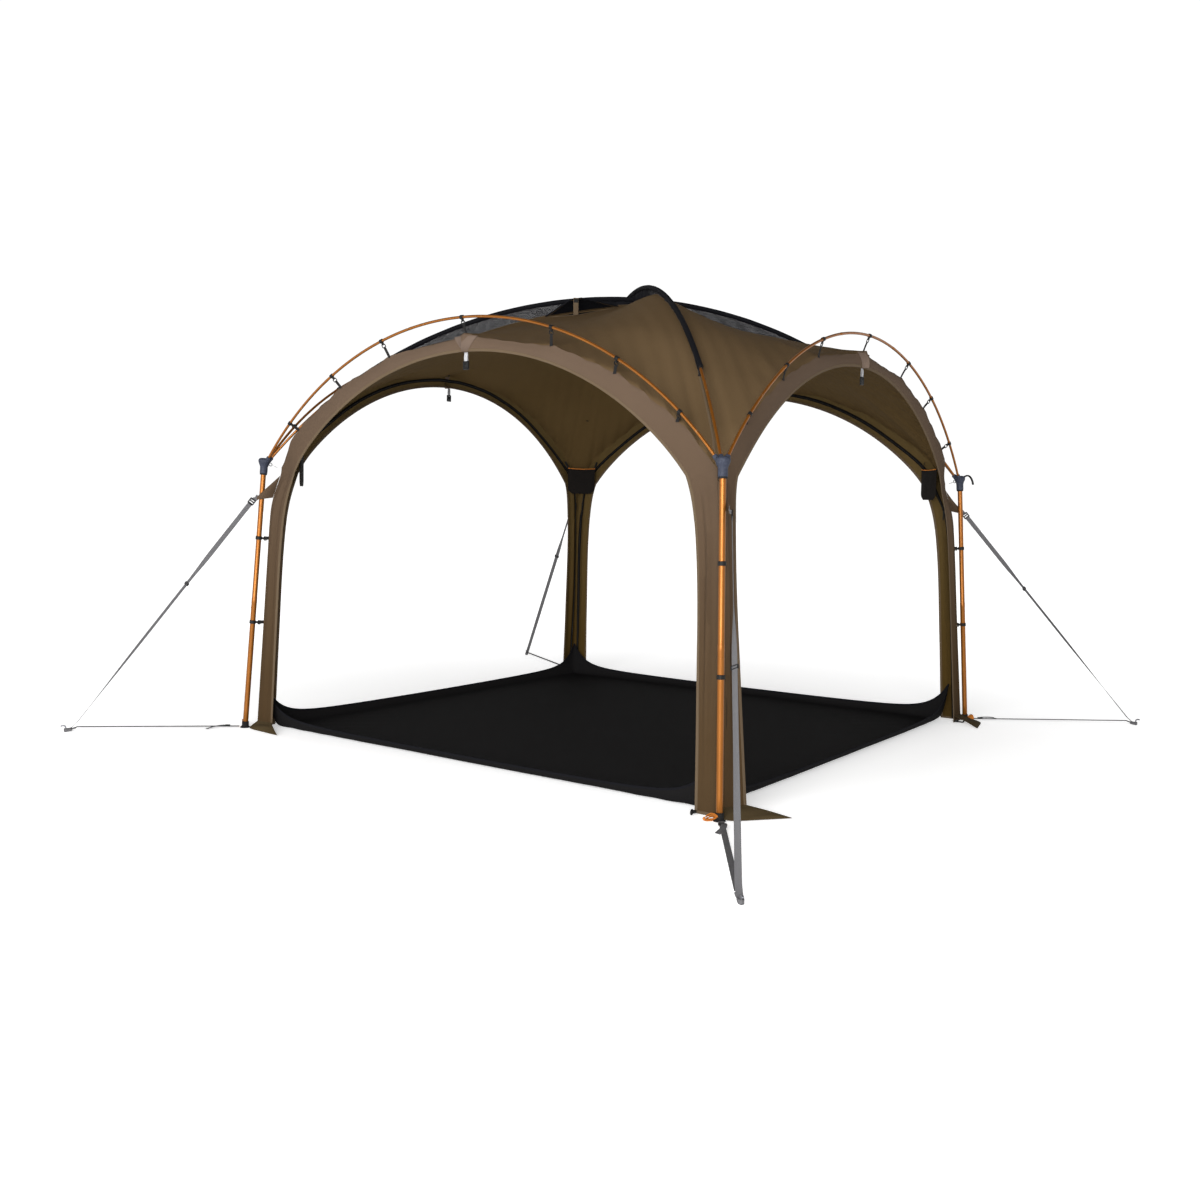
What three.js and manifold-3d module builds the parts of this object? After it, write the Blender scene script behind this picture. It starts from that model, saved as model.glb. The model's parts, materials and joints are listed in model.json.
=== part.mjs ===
// A square domed shelter: four leg poles, four hubs, four side arches and two crossed ridge poles
// carry a sewn canopy that is open on every side. Webbing guys run from the legs to ground pegs.
// Millimetres, +Z up, the origin on the ground under the middle of the roof.
import * as THREE from 'three';
import { mergeVertices } from 'three/addons/utils/BufferGeometryUtils.js';
import Module from 'manifold-3d';

const wasm = await Module();
wasm.setup();

// ---- driving dimensions ----
const footOffset = 1500; // leg pole foot, from the middle, along X and along Y
const hubOffset = 1426; // hub axis at its own height, so the legs lean in
const hubHeight = 1440;
const legPoleRadius = 14.5;
const legPoleBore = 13;
const archPoleRadius = 6;
const socketOffset = 20; // pole sockets, out from the hub axis
const socketHeight = 1456;
const sideArchTop = 2132;
const lowerRidgeTop = 2420;
const upperRidgeTop = 2452; // this ridge pole crosses over the other
const sleeveHalfSpan = 1590; // on the diagonal
const sleeveBore = 9.5;
const sleeveRadius = 13.5;
const sleeveGap = 10; // between the upper sleeve and the roof under it
const frontUpperEnd = 1; // the upper ridge pole crosses to the front side's right end

const cloth = 3; // modelled thickness of every sewn panel
const creaseOffset = 1395; // plane of the arch bands
const creaseTop = 2050; // where the roof folds down into a band
const cornerHeight = 1430; // roof cloth at the hubs
const apexDrop = 35; // roof cloth below the lower ridge pole
const ridgeSag = 40;
const crestSag = 18;
const openingTop = 1975;
const seamHeight = 1400; // seam between a leg panel and the roof
const openingAtSeam = 1235;
const bandFan = 0.9; // share of a band's columns that end on the opening
const legCornerAtGround = 1455;
const legEdge = [[1399.5, 1235], [1350, 1254], [1290, 1269], [1040, 1300], [500, 1320], [5, 1332]];

const floorHalf = 1420;
const floorWall = 50;

const guyWidth = 25;
const guyThickness = 2;
const lockReach = 2087; // ladder lock at the top of each guy, in the corner's frame
const lockSide = 25;
const lockHeight = 1232;
const joinBack = 45; // where the ground strap meets the guy, short of the peg
const joinHeight = 35;
const gap = 0.5;

// The guys are pegged out by hand, so each has its own reach, swing off the diagonal and slider height.
// legFoot is how the foot of a leg panel is pulled out: its corner, then the widening of its two walls,
// then how far beyond the corner's own line the inner edge of each wall is.
const corners = [
  { name: 'front_left', bearing: -135, ridge: 'lower', pegReach: 3035, pegSwing: 1.5, sliderHeight: 795,
    legFoot: [0, 0, 0, 0, 0] },
  { name: 'front_right', bearing: -45, ridge: 'upper', pegReach: 3117, pegSwing: -3.6, sliderHeight: 690,
    legFoot: [0, -24, 0, 0, 80] },
  { name: 'back_right', bearing: 45, ridge: 'lower', pegReach: 3120, pegSwing: -4.2, sliderHeight: 810,
    legFoot: [25, -25, -25, 0, 0] },
  { name: 'back_left', bearing: 135, ridge: 'upper', pegReach: 3030, pegSwing: 4.7, sliderHeight: 850,
    legFoot: [0, 0, 0, 0, 0] },
];
const sides = [
  { name: 'front', bearing: 0 },
  { name: 'right', bearing: 90 },
  { name: 'back', bearing: 180 },
  { name: 'left', bearing: 270 },
];

const radians = THREE.MathUtils.degToRad;
const up = new THREE.Vector3(0, 0, 1);
const diagonal = Math.SQRT2;

// ---- materials ----
const finish = (color, roughness, metalness) =>
  new THREE.MeshStandardMaterial({ color, roughness, metalness });
const anodised = finish(0xc8782a, 0.32, 0.85);
const moulding = finish(0x50556a, 0.5, 0);
const canopyCloth = finish(0x84705c, 0.85, 0);
const sleeveCloth = finish(0x16171b, 0.8, 0);
const floorCloth = finish(0x1b1b1c, 0.7, 0);
const webbing = finish(0x85858e, 0.8, 0);
const blackPlastic = finish(0x121214, 0.45, 0);
const footRubber = finish(0x262626, 0.8, 0);
const steel = finish(0x55575a, 0.4, 0.9);

// ---- scene graph ----
const shelter = new THREE.Group();

function turnedGroup(bearing) {
  const group = new THREE.Group();
  group.rotation.z = radians(bearing);
  shelter.add(group);
  return group;
}

function addMesh(parent, name, geometry, material) {
  const mesh = new THREE.Mesh(geometry, material);
  mesh.name = name;
  parent.add(mesh);
  return mesh;
}

// ---- closed bodies ----
function weld(geometry) {
  const bare = geometry.clone();
  bare.deleteAttribute('normal');
  bare.deleteAttribute('uv');
  return mergeVertices(bare, 1e-4);
}

function toManifold(geometry) {
  const welded = weld(geometry);
  const vertProperties = new Float32Array(welded.attributes.position.array);
  const triVerts = new Uint32Array(welded.index.array);
  return new wasm.Manifold(new wasm.Mesh({ numProp: 3, vertProperties, triVerts }));
}

function toGeometry(manifold) {
  const mesh = manifold.getMesh();
  const geometry = new THREE.BufferGeometry();
  geometry.setAttribute('position', new THREE.BufferAttribute(new Float32Array(mesh.vertProperties), 3));
  geometry.setIndex(new THREE.BufferAttribute(new Uint32Array(mesh.triVerts), 1));
  geometry.computeVertexNormals();
  return geometry;
}

const joined = (...parts) => parts.reduce((body, part) => body.add(part));

function movedBox(width, depth, height, x, y, z) {
  return toManifold(new THREE.BoxGeometry(width, depth, height).translate(x, y, z));
}

// A body between two grids of points with the same rows and columns: the outer grid faces out when
// its rows run against the outward side's right-hand sense.
function slabBetween(outer, inner) {
  const rows = outer.length;
  const columns = outer[0].length;
  const points = [...outer.flat(), ...inner.flat()];
  const at = (row, column, side) => side * rows * columns + row * columns + column;
  const index = [];
  const quad = (a, b, c, d) => index.push(a, b, c, a, c, d);
  for (let row = 0; row < rows - 1; row += 1) {
    for (let column = 0; column < columns - 1; column += 1) {
      quad(at(row, column, 0), at(row + 1, column, 0), at(row + 1, column + 1, 0), at(row, column + 1, 0));
      quad(at(row, column, 1), at(row, column + 1, 1), at(row + 1, column + 1, 1), at(row + 1, column, 1));
    }
  }
  for (let row = 0; row < rows - 1; row += 1) {
    const last = columns - 1;
    quad(at(row, 0, 0), at(row, 0, 1), at(row + 1, 0, 1), at(row + 1, 0, 0));
    quad(at(row, last, 0), at(row + 1, last, 0), at(row + 1, last, 1), at(row, last, 1));
  }
  for (let column = 0; column < columns - 1; column += 1) {
    const last = rows - 1;
    quad(at(0, column, 0), at(0, column + 1, 0), at(0, column + 1, 1), at(0, column, 1));
    quad(at(last, column, 0), at(last, column, 1), at(last, column + 1, 1), at(last, column + 1, 0));
  }
  const geometry = new THREE.BufferGeometry().setFromPoints(points);
  geometry.setIndex(index);
  geometry.computeVertexNormals();
  return geometry;
}

// ---- arches ----
// A circular arch in the XZ plane, by its half span, the height of its ends and of its top.
class Arch extends THREE.Curve {
  constructor(halfSpan, endHeight, topHeight, reach = halfSpan) {
    super();
    const rise = topHeight - endHeight;
    this.radius = (halfSpan ** 2 + rise ** 2) / (2 * rise);
    this.centreHeight = topHeight - this.radius;
    this.halfAngle = Math.asin(reach / this.radius);
  }

  heightAt(x) {
    return this.centreHeight + Math.sqrt(this.radius ** 2 - x ** 2);
  }

  getPoint(t, target = new THREE.Vector3()) {
    const angle = this.halfAngle * (2 * t - 1);
    const height = this.centreHeight + this.radius * Math.cos(angle);
    return target.set(this.radius * Math.sin(angle), 0, height);
  }
}

const ridgeHalfSpan = hubOffset * diagonal - socketOffset;
const sideArch = new Arch(hubOffset - socketOffset, socketHeight, sideArchTop);
const lowerRidge = new Arch(ridgeHalfSpan, socketHeight, lowerRidgeTop);
const upperRidge = new Arch(ridgeHalfSpan, socketHeight, upperRidgeTop);
const ridges = { lower: lowerRidge, upper: upperRidge };
const creaseArch = new Arch(creaseOffset, cornerHeight, creaseTop);
const openingArch = new Arch(openingAtSeam, seamHeight, openingTop);

const archSteps = 28; // straight lengths in each pole

function polygon(radius, sideCount) {
  const points = [];
  for (let side = 0; side < sideCount; side += 1) {
    const angle = (2 * Math.PI * side) / sideCount;
    points.push(new THREE.Vector2(radius * Math.cos(angle), radius * Math.sin(angle)));
  }
  return points;
}

function poleAlong(arch) {
  const section = new THREE.Shape(polygon(archPoleRadius, 8));
  return new THREE.ExtrudeGeometry(section, { steps: archSteps, extrudePath: arch, bevelEnabled: false });
}

function sleeveAlong(topHeight) {
  const section = new THREE.Shape(polygon(sleeveRadius, 8));
  section.holes.push(new THREE.Path(polygon(sleeveBore, 8)));
  const path = new Arch(ridgeHalfSpan, socketHeight, topHeight, sleeveHalfSpan);
  return new THREE.ExtrudeGeometry(section, { steps: 20, extrudePath: path, bevelEnabled: false });
}

// ---- legs and hubs, in a corner's frame: +X out along the diagonal ----
const legFoot = new THREE.Vector3(footOffset * diagonal, 0, 0);
const legTop = new THREE.Vector3(hubOffset * diagonal, 0, hubHeight);
const legAxis = legTop.clone().sub(legFoot).normalize();
const legLength = legFoot.distanceTo(legTop);
const tubeStart = 14;

function onLegAxis(geometry, along) {
  const turn = new THREE.Quaternion().setFromUnitVectors(new THREE.Vector3(0, 1, 0), legAxis);
  const place = legFoot.clone().addScaledVector(legAxis, along);
  return geometry.applyQuaternion(turn).translate(place.x, place.y, place.z);
}

function revolved(profile, segments = 12) {
  const points = profile.map(([radius, height]) => new THREE.Vector2(radius, height));
  return new THREE.LatheGeometry(points, segments);
}

function legPole() {
  const profile = [[legPoleBore, 0], [legPoleRadius, 0], [legPoleRadius, legLength - tubeStart],
    [legPoleBore, legLength - tubeStart], [legPoleBore, 0]];
  return onLegAxis(revolved(profile), tubeStart);
}

// The foot is a moulded plug: a spigot up inside the tube, a cup round it and a flat tread below.
function poleFoot() {
  const cup = [[0, -3], [19, -3], [19, 34], [legPoleRadius + gap, 34], [legPoleRadius + gap, 13],
    [legPoleBore - gap, 13], [legPoleBore - gap, 52], [0, 52]];
  const tread = revolved([[0, 0], [27, 0], [27, 5], [22, 9], [0, 9]]);
  const upright = new THREE.Quaternion().setFromUnitVectors(new THREE.Vector3(0, 1, 0), up);
  tread.applyQuaternion(upright).translate(legFoot.x, 0, 0);
  const below = movedBox(90, 90, 40, legFoot.x, 0, -20);
  return toGeometry(joined(toManifold(onLegAxis(revolved(cup), 0)), toManifold(tread)).subtract(below));
}

// Where each pole ends in the hub, and which way its first straight length leaves.
function hubSockets(ridge) {
  const leaving = [[135, sideArch], [180, ridge], [225, sideArch]];
  return leaving.map(([bearing, arch]) => {
    const heading = radians(bearing);
    const tilt = arch.halfAngle * (1 - 1 / archSteps);
    const level = new THREE.Vector3(Math.cos(heading), Math.sin(heading), 0);
    const end = new THREE.Vector3(legTop.x, 0, socketHeight).addScaledVector(level, socketOffset);
    const direction = level.multiplyScalar(Math.cos(tilt)).addScaledVector(up, Math.sin(tilt));
    return { end, direction };
  });
}

function socketCylinder({ end, direction }, radius, from, to) {
  const turn = new THREE.Quaternion().setFromUnitVectors(new THREE.Vector3(0, 1, 0), direction);
  const middle = end.clone().addScaledVector(direction, (from + to) / 2);
  const cylinder = new THREE.CylinderGeometry(radius, radius, to - from, 10);
  return toManifold(cylinder.applyQuaternion(turn).translate(middle.x, middle.y, middle.z));
}

function hub(ridge) {
  const sockets = hubSockets(ridge);
  const knuckle = [[0, -46], [20, -46], [21, -42], [21, -4], [31, 14], [32, 26], [25, 36], [0, 39]];
  const body = toManifold(onLegAxis(revolved(knuckle), legLength));
  const collars = sockets.map((socket) => socketCylinder(socket, 11, -8, 34));
  const bores = sockets.map((socket) => socketCylinder(socket, archPoleRadius + 1.2, -2, 60));
  const legBore = toManifold(onLegAxis(revolved([[0, -60], [15.3, -60], [15.3, 1], [0, 1]]), legLength));
  return toGeometry(joined(body, ...collars).subtract(joined(legBore, ...bores)));
}

// ---- canopy ----
// Height of the roof cloth under a ridge pole, a share of the way from the apex to the corner.
function ridgeClothHeight(share) {
  const cornerDrop = lowerRidge.heightAt(creaseOffset * diagonal) - cornerHeight;
  const drop = apexDrop + (cornerDrop - apexDrop) * share + 4 * ridgeSag * share * (1 - share);
  return lowerRidge.heightAt(share * creaseOffset * diagonal) - drop;
}

function crestHeight(share) {
  const apex = lowerRidgeTop - apexDrop;
  return apex + (creaseTop - apex) * share - 4 * crestSag * share * (1 - share);
}

// A point of the front roof panel: share runs from the apex to the crease, across from -1 to 1.
// The cloth is drawn up under the sleeve of the upper ridge pole, except at the apex and the hubs.
function upperRidgeLift(share) {
  const sleeveBottom = upperRidge.heightAt(share * creaseOffset * diagonal) - sleeveRadius;
  const start = THREE.MathUtils.smoothstep(share, 0.06, 0.34);
  const end = 1 - THREE.MathUtils.smoothstep(share, 0.7, 1);
  return start * end * (sleeveBottom - sleeveGap - ridgeClothHeight(share));
}

// upperEnd is 1 or -1, the end of the side that the upper ridge pole crosses to.
function roofPoint(share, across, upperEnd) {
  const archShape = (creaseArch.heightAt(across * creaseOffset) - cornerHeight) / (creaseTop - cornerHeight);
  const ridge = ridgeClothHeight(share);
  const lift = upperRidgeLift(share) * THREE.MathUtils.smoothstep(across * upperEnd, 0.2, 1);
  const height = ridge + (crestHeight(share) - ridge) * archShape + lift;
  return new THREE.Vector3(across * share * creaseOffset, -share * creaseOffset, height);
}

// The lower edge of the band: along the opening, then out along the seam to the corner.
function bandEdgePoint(across) {
  const side = Math.sign(across);
  const reach = Math.abs(across);
  if (reach <= bandFan) {
    const x = (openingAtSeam * reach) / bandFan;
    return new THREE.Vector3(side * x, -creaseOffset, openingArch.heightAt(x));
  }
  const x = THREE.MathUtils.lerp(openingAtSeam, creaseOffset, (reach - bandFan) / (1 - bandFan));
  return new THREE.Vector3(side * x, -creaseOffset, seamHeight);
}

function roofPanel(upperEnd) {
  const columns = 18;
  const roofRows = [0.02, 0.15, 0.32, 0.5, 0.68, 0.85];
  const bandRows = [0, 0.5, 1];
  const endInset = cloth + gap; // keeps neighbouring panels apart on the diagonals
  const outer = [];
  const inner = [];
  const addRow = (share, pointAt, inward) => {
    const inset = 1 - endInset / (share * creaseOffset);
    const row = [];
    for (let column = 0; column <= columns; column += 1) {
      const point = pointAt((2 * column) / columns - 1);
      row.push(point.setX(point.x * inset));
    }
    outer.push(row);
    inner.push(row.map((point) => point.clone().add(inward)));
  };
  const below = new THREE.Vector3(0, 0, -cloth);
  roofRows.forEach((share) => addRow(share, (across) => roofPoint(share, across, upperEnd), below));
  bandRows.forEach((share) => {
    const inward = new THREE.Vector3(0, cloth, share === 0 ? -cloth : 0);
    addRow(1, (across) => roofPoint(1, across, upperEnd).lerp(bandEdgePoint(across), share), inward);
  });
  return slabBetween(outer, inner);
}

function legPanel(legFoot) {
  const outer = [];
  const inner = [];
  const skew = cloth / diagonal;
  legEdge.forEach(([height, edge]) => {
    const drawn = 1 - height / seamHeight;
    const [out, widerLeft, widerRight, leftOut, rightOut] = legFoot.map((length) => length * drawn);
    const corner = THREE.MathUtils.lerp(creaseOffset, legCornerAtGround, drawn) + out;
    const left = [edge - widerLeft, corner + leftOut];
    const right = [edge - widerRight, corner + rightOut];
    outer.push([
      new THREE.Vector3((left[0] + left[1]) / diagonal, (left[0] - left[1]) / diagonal, height),
      new THREE.Vector3(corner * diagonal, 0, height),
      new THREE.Vector3((right[0] + right[1]) / diagonal, (right[1] - right[0]) / diagonal, height),
    ]);
    inner.push([
      new THREE.Vector3((left[0] + left[1]) / diagonal - skew, (left[0] - left[1]) / diagonal + skew, height),
      new THREE.Vector3((corner - cloth) * diagonal, 0, height),
      new THREE.Vector3((right[0] + right[1]) / diagonal - skew, (right[1] - right[0]) / diagonal - skew, height),
    ]);
  });
  return slabBetween(outer, inner);
}

// ---- roof vent, in the front roof panel beside the front-left ridge ----
// Its own frame: +X out along that ridge, +Y towards the front, so it is turned by the ridge's bearing.
const ventBearing = -135;
const ventHinge = 40; // from the ridge line
const ventNear = 90; // along the ridge
const ventFar = 500;
const ventTip = { along: 346, out: 150 };
const propHeight = 92;
const propWidth = 28;
const propThickness = 3;

// The roof cloth under a point of the vent's frame.
function clothAtVent(along, out) {
  const x = (-along + out) / diagonal;
  const y = (-along - out) / diagonal;
  const share = -y / creaseOffset;
  return roofPoint(share, x / -y, frontUpperEnd).z;
}

function ventCut() {
  const outline = [[ventNear + 20, ventHinge], [ventTip.along, ventTip.out - 12], [ventFar - 20, ventHinge]];
  const shape = new THREE.Shape(outline.map(([along, out]) => new THREE.Vector2(along, out)));
  const prism = new THREE.ExtrudeGeometry(shape, { depth: 400, bevelEnabled: false });
  return toManifold(prism.translate(0, 0, 2200).rotateZ(radians(ventBearing)));
}

// The hood is a three-sided flap: hinged along the ridge, its outer tip held up by the prop.
function ventHood() {
  const rows = 5;
  const columns = 8;
  const outer = [];
  const inner = [];
  for (let row = 0; row <= rows; row += 1) {
    const outShare = row / rows;
    const line = [];
    for (let column = 0; column <= columns; column += 1) {
      const near = THREE.MathUtils.lerp(ventNear, ventTip.along - 30, outShare);
      const far = THREE.MathUtils.lerp(ventFar, ventTip.along + 30, outShare);
      const along = THREE.MathUtils.lerp(far, near, column / columns);
      const out = THREE.MathUtils.lerp(ventHinge, ventTip.out - gap - cloth, outShare);
      const lift = 8 + (propHeight - 8) * outShare;
      line.push(new THREE.Vector3(along, out, clothAtVent(along, out) + lift));
    }
    outer.push(line);
    inner.push(line.map((point) => point.clone().add(new THREE.Vector3(0, 0, -cloth))));
  }
  return slabBetween(outer, inner);
}

function ventProp() {
  const foot = clothAtVent(ventTip.along, ventTip.out) + 4;
  const strip = new THREE.BoxGeometry(propWidth, propThickness, propHeight);
  return strip.translate(ventTip.along, ventTip.out + propThickness / 2, foot + propHeight / 2);
}

// ---- soft parts inside ----
function groundSheet() {
  const tray = movedBox(2 * floorHalf, 2 * floorHalf, floorWall, 0, 0, floorWall / 2);
  const inside = 2 * (floorHalf - cloth);
  return toGeometry(tray.subtract(movedBox(inside, inside, floorWall, 0, 0, floorWall / 2 + cloth)));
}

// A flat pouch across the inside of a corner, in the corner's frame.
function cornerPocket() {
  const halfWidth = 99;
  const depth = 180;
  const thickness = 14;
  const shape = new THREE.Shape();
  shape.moveTo(-halfWidth, 0);
  shape.lineTo(-halfWidth + 12, -depth + 30);
  shape.quadraticCurveTo(-halfWidth + 16, -depth, -halfWidth + 48, -depth);
  shape.lineTo(halfWidth - 48, -depth);
  shape.quadraticCurveTo(halfWidth - 16, -depth, halfWidth - 12, -depth + 30);
  shape.lineTo(halfWidth, 0);
  const pouch = new THREE.ExtrudeGeometry(shape, { depth: thickness, bevelEnabled: false, curveSegments: 4 });
  return pouch.rotateX(radians(90)).rotateZ(radians(90)).translate(1290 * diagonal, 0, 1510);
}

// A release buckle on a short webbing tab under the middle of an arch, in a side's frame.
function hangingBuckle() {
  const y = -creaseOffset + cloth / 2;
  const tab = movedBox(guyWidth, guyThickness, 44, 0, y, openingTop - 3 - 22);
  const body = movedBox(33, 10, 42, 0, y, openingTop - 64);
  return toGeometry(joined(tab, body));
}

// ---- guys, in a corner's frame ----
function guyLine(corner) {
  const swing = radians(corner.pegSwing);
  const toPeg = new THREE.Vector3(Math.cos(swing), Math.sin(swing), 0);
  const lock = new THREE.Vector3(lockReach, lockSide, lockHeight);
  const join = toPeg.clone().multiplyScalar(corner.pegReach - joinBack).setZ(joinHeight);
  const peg = toPeg.clone().multiplyScalar(corner.pegReach);
  const along = join.clone().sub(lock).normalize();
  const level = new THREE.Vector3().crossVectors(up, along).normalize();
  const steep = new THREE.Vector3().crossVectors(along, level);
  return { lock, join, peg, along, level, steep, toPeg, length: lock.distanceTo(join) };
}

// Flat webbing through stations, each a centre and the direction of the webbing's width.
function ribbon(stations) {
  const outer = [];
  const inner = [];
  stations.forEach(({ centre, across, along }) => {
    const face = new THREE.Vector3().crossVectors(along, across).normalize();
    const half = across.clone().multiplyScalar(guyWidth / 2);
    const rise = face.multiplyScalar(guyThickness / 2);
    outer.push([centre.clone().sub(half).add(rise), centre.clone().add(half).add(rise)]);
    inner.push([centre.clone().sub(half).sub(rise), centre.clone().add(half).sub(rise)]);
  });
  return slabBetween(outer, inner);
}

// The guy hangs on edge from the ladder lock, turns flat above its slider, and ends in a loop at the peg.
function guyStrap(corner) {
  const { lock, join, peg, along, level, steep, toPeg, length } = guyLine(corner);
  const sliderAt = ((lockHeight - corner.sliderHeight) / (lockHeight - joinHeight)) * length;
  const twistLength = 90;
  const twistSteps = 6;
  const stationAt = (distance, angle) => {
    const across = steep.clone().multiplyScalar(Math.cos(angle)).addScaledVector(level, Math.sin(angle));
    return { centre: lock.clone().addScaledVector(along, distance), across, along };
  };
  const stations = [stationAt(0, 0)];
  for (let step = 0; step <= twistSteps; step += 1) {
    const share = step / twistSteps;
    stations.push(stationAt(sliderAt - 12 - twistLength * (1 - share), (share * Math.PI) / 2));
  }
  stations.push(stationAt(length - 12, Math.PI / 2));
  const bend = along.clone().add(toPeg).normalize();
  stations.push({ centre: join.clone(), across: level, along: bend });
  const end = peg.clone().addScaledVector(toPeg, -6).setZ(12);
  stations.push({ centre: end, across: level, along: end.clone().sub(join).normalize() });
  return ribbon(stations);
}

function groundStrap(corner) {
  const { join, toPeg, level } = guyLine(corner);
  const start = new THREE.Vector3(legFoot.x + 31, 0, 8);
  const end = join.clone().addScaledVector(toPeg, -9).setZ(joinHeight - 7);
  const along = end.clone().sub(start).normalize();
  return ribbon([start, end].map((centre) => ({ centre, across: level, along })));
}

function frameOf(across, along, place) {
  const face = new THREE.Vector3().crossVectors(across, along);
  return new THREE.Matrix4().makeBasis(across, along, face).setPosition(place);
}

// A ladder lock: a flat frame with two slots, just above the end of the guy.
function ladderLock(corner) {
  const { lock, along, steep } = guyLine(corner);
  const plate = movedBox(34, 26, 5, 0, 0, 0);
  const slots = joined(movedBox(26, 5, 12, 0, 6, 0), movedBox(26, 5, 12, 0, -6, 0));
  const place = lock.clone().addScaledVector(along, -14);
  return toGeometry(plate.subtract(slots)).applyMatrix4(frameOf(steep, along, place));
}

// A slider threaded on the flat part of the guy.
function guySlider(corner) {
  const { lock, along, level, length } = guyLine(corner);
  const block = movedBox(33, 16, 8, 0, 0, 0);
  const slot = movedBox(guyWidth + 1.4, 30, guyThickness + 1.2, 0, 0, 0);
  const distance = ((lockHeight - corner.sliderHeight) / (lockHeight - joinHeight)) * length;
  const place = lock.clone().addScaledVector(along, distance);
  return toGeometry(block.subtract(slot)).applyMatrix4(frameOf(level, along, place));
}

// The part of a peg that stands above ground: a short shank and a hook that points away from the shelter.
function groundPeg(corner) {
  const { peg, toPeg } = guyLine(corner);
  const upright = new THREE.CylinderGeometry(4, 4, 38, 12).rotateX(radians(90)).translate(0, 0, 19);
  const hook = new THREE.CylinderGeometry(4, 4, 26, 12).rotateZ(radians(90)).translate(13, 0, 34);
  const heading = Math.atan2(toPeg.y, toPeg.x);
  const body = joined(toManifold(upright), toManifold(hook));
  return toGeometry(body).rotateZ(heading).translate(peg.x, peg.y, 0);
}

// ---- assembly ----
function addCorner(corner) {
  const group = turnedGroup(corner.bearing);
  addMesh(group, `leg_pole_${corner.name}`, legPole(), anodised);
  addMesh(group, `pole_foot_${corner.name}`, poleFoot(), footRubber);
  addMesh(group, `hub_${corner.name}`, hub(ridges[corner.ridge]), moulding);
  addMesh(group, `leg_panel_${corner.name}`, legPanel(corner.legFoot), canopyCloth);
  addMesh(group, `corner_pocket_${corner.name}`, cornerPocket(), sleeveCloth);
  addMesh(group, `ladder_lock_${corner.name}`, ladderLock(corner), blackPlastic);
  addMesh(group, `guy_strap_${corner.name}`, guyStrap(corner), webbing);
  addMesh(group, `guy_slider_${corner.name}`, guySlider(corner), blackPlastic);
  addMesh(group, `ground_strap_${corner.name}`, groundStrap(corner), webbing);
  addMesh(group, `ground_peg_${corner.name}`, groundPeg(corner), steel);
}

function addSide(side) {
  const group = turnedGroup(side.bearing);
  const panel = roofPanel(side.bearing % 180 === 0 ? frontUpperEnd : -frontUpperEnd);
  const arch = addMesh(group, `side_arch_${side.name}`, poleAlong(sideArch), anodised);
  arch.position.y = -hubOffset;
  const cut = side.name === 'front' ? toGeometry(toManifold(panel).subtract(ventCut())) : panel;
  addMesh(group, `roof_panel_${side.name}`, cut, canopyCloth);
  addMesh(group, `hanging_buckle_${side.name}`, hangingBuckle(), blackPlastic);
}

function addRidge(name, bearing, arch, topHeight) {
  const group = turnedGroup(bearing);
  addMesh(group, `ridge_pole_${name}`, poleAlong(arch), anodised);
  addMesh(group, `ridge_sleeve_${name}`, sleeveAlong(topHeight), sleeveCloth);
}

corners.forEach(addCorner);
sides.forEach(addSide);
addRidge('lower', 45, lowerRidge, lowerRidgeTop);
addRidge('upper', -45, upperRidge, upperRidgeTop);

const vent = turnedGroup(ventBearing);
addMesh(vent, 'vent_hood', ventHood(), canopyCloth);
addMesh(vent, 'vent_prop', ventProp(), canopyCloth);
addMesh(shelter, 'ground_sheet', groundSheet(), floorCloth);

export default shelter;
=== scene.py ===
import json
import math

import bmesh
import bpy
import numpy as np
from mathutils import Matrix, Vector, noise
from mathutils.bvhtree import BVHTree


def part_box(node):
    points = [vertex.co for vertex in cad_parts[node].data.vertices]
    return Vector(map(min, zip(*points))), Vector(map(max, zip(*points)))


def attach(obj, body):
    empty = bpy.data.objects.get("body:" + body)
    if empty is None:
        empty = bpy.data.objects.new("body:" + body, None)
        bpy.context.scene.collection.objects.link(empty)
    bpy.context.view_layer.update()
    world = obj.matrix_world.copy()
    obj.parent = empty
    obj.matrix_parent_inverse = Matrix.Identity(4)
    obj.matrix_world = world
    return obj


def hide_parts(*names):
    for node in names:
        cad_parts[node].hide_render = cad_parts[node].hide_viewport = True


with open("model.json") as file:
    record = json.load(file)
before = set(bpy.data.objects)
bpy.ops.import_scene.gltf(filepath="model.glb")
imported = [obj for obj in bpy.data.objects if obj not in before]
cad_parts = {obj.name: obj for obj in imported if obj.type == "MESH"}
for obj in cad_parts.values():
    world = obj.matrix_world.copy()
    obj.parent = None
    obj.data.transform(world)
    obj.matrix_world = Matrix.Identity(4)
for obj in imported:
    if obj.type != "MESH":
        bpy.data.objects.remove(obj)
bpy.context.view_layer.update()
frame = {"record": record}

# ---- sizes that come from the frame ----
mounts = {mount["name"]: mount["pos_m"] for mount in frame["record"]["mounts"]}
arch_low, arch_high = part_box("side_arch_front")
sheet_low, sheet_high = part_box("ground_sheet")
pocket_low, pocket_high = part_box("corner_pocket_front_right")

diagonal = math.sqrt(2)
pole_radius = 0.006
tube_radius = 0.0067
leg_radius = 0.0145
foot_offset = mounts["foot_front_right"][0]
hub_offset = -(arch_low[1] + arch_high[1]) / 2
side_arch_top = arch_high[2] - pole_radius
lower_ridge_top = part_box("ridge_pole_lower")[1][2] - pole_radius
upper_ridge_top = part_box("ridge_pole_upper")[1][2] - pole_radius
floor_half = sheet_high[0]

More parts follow.
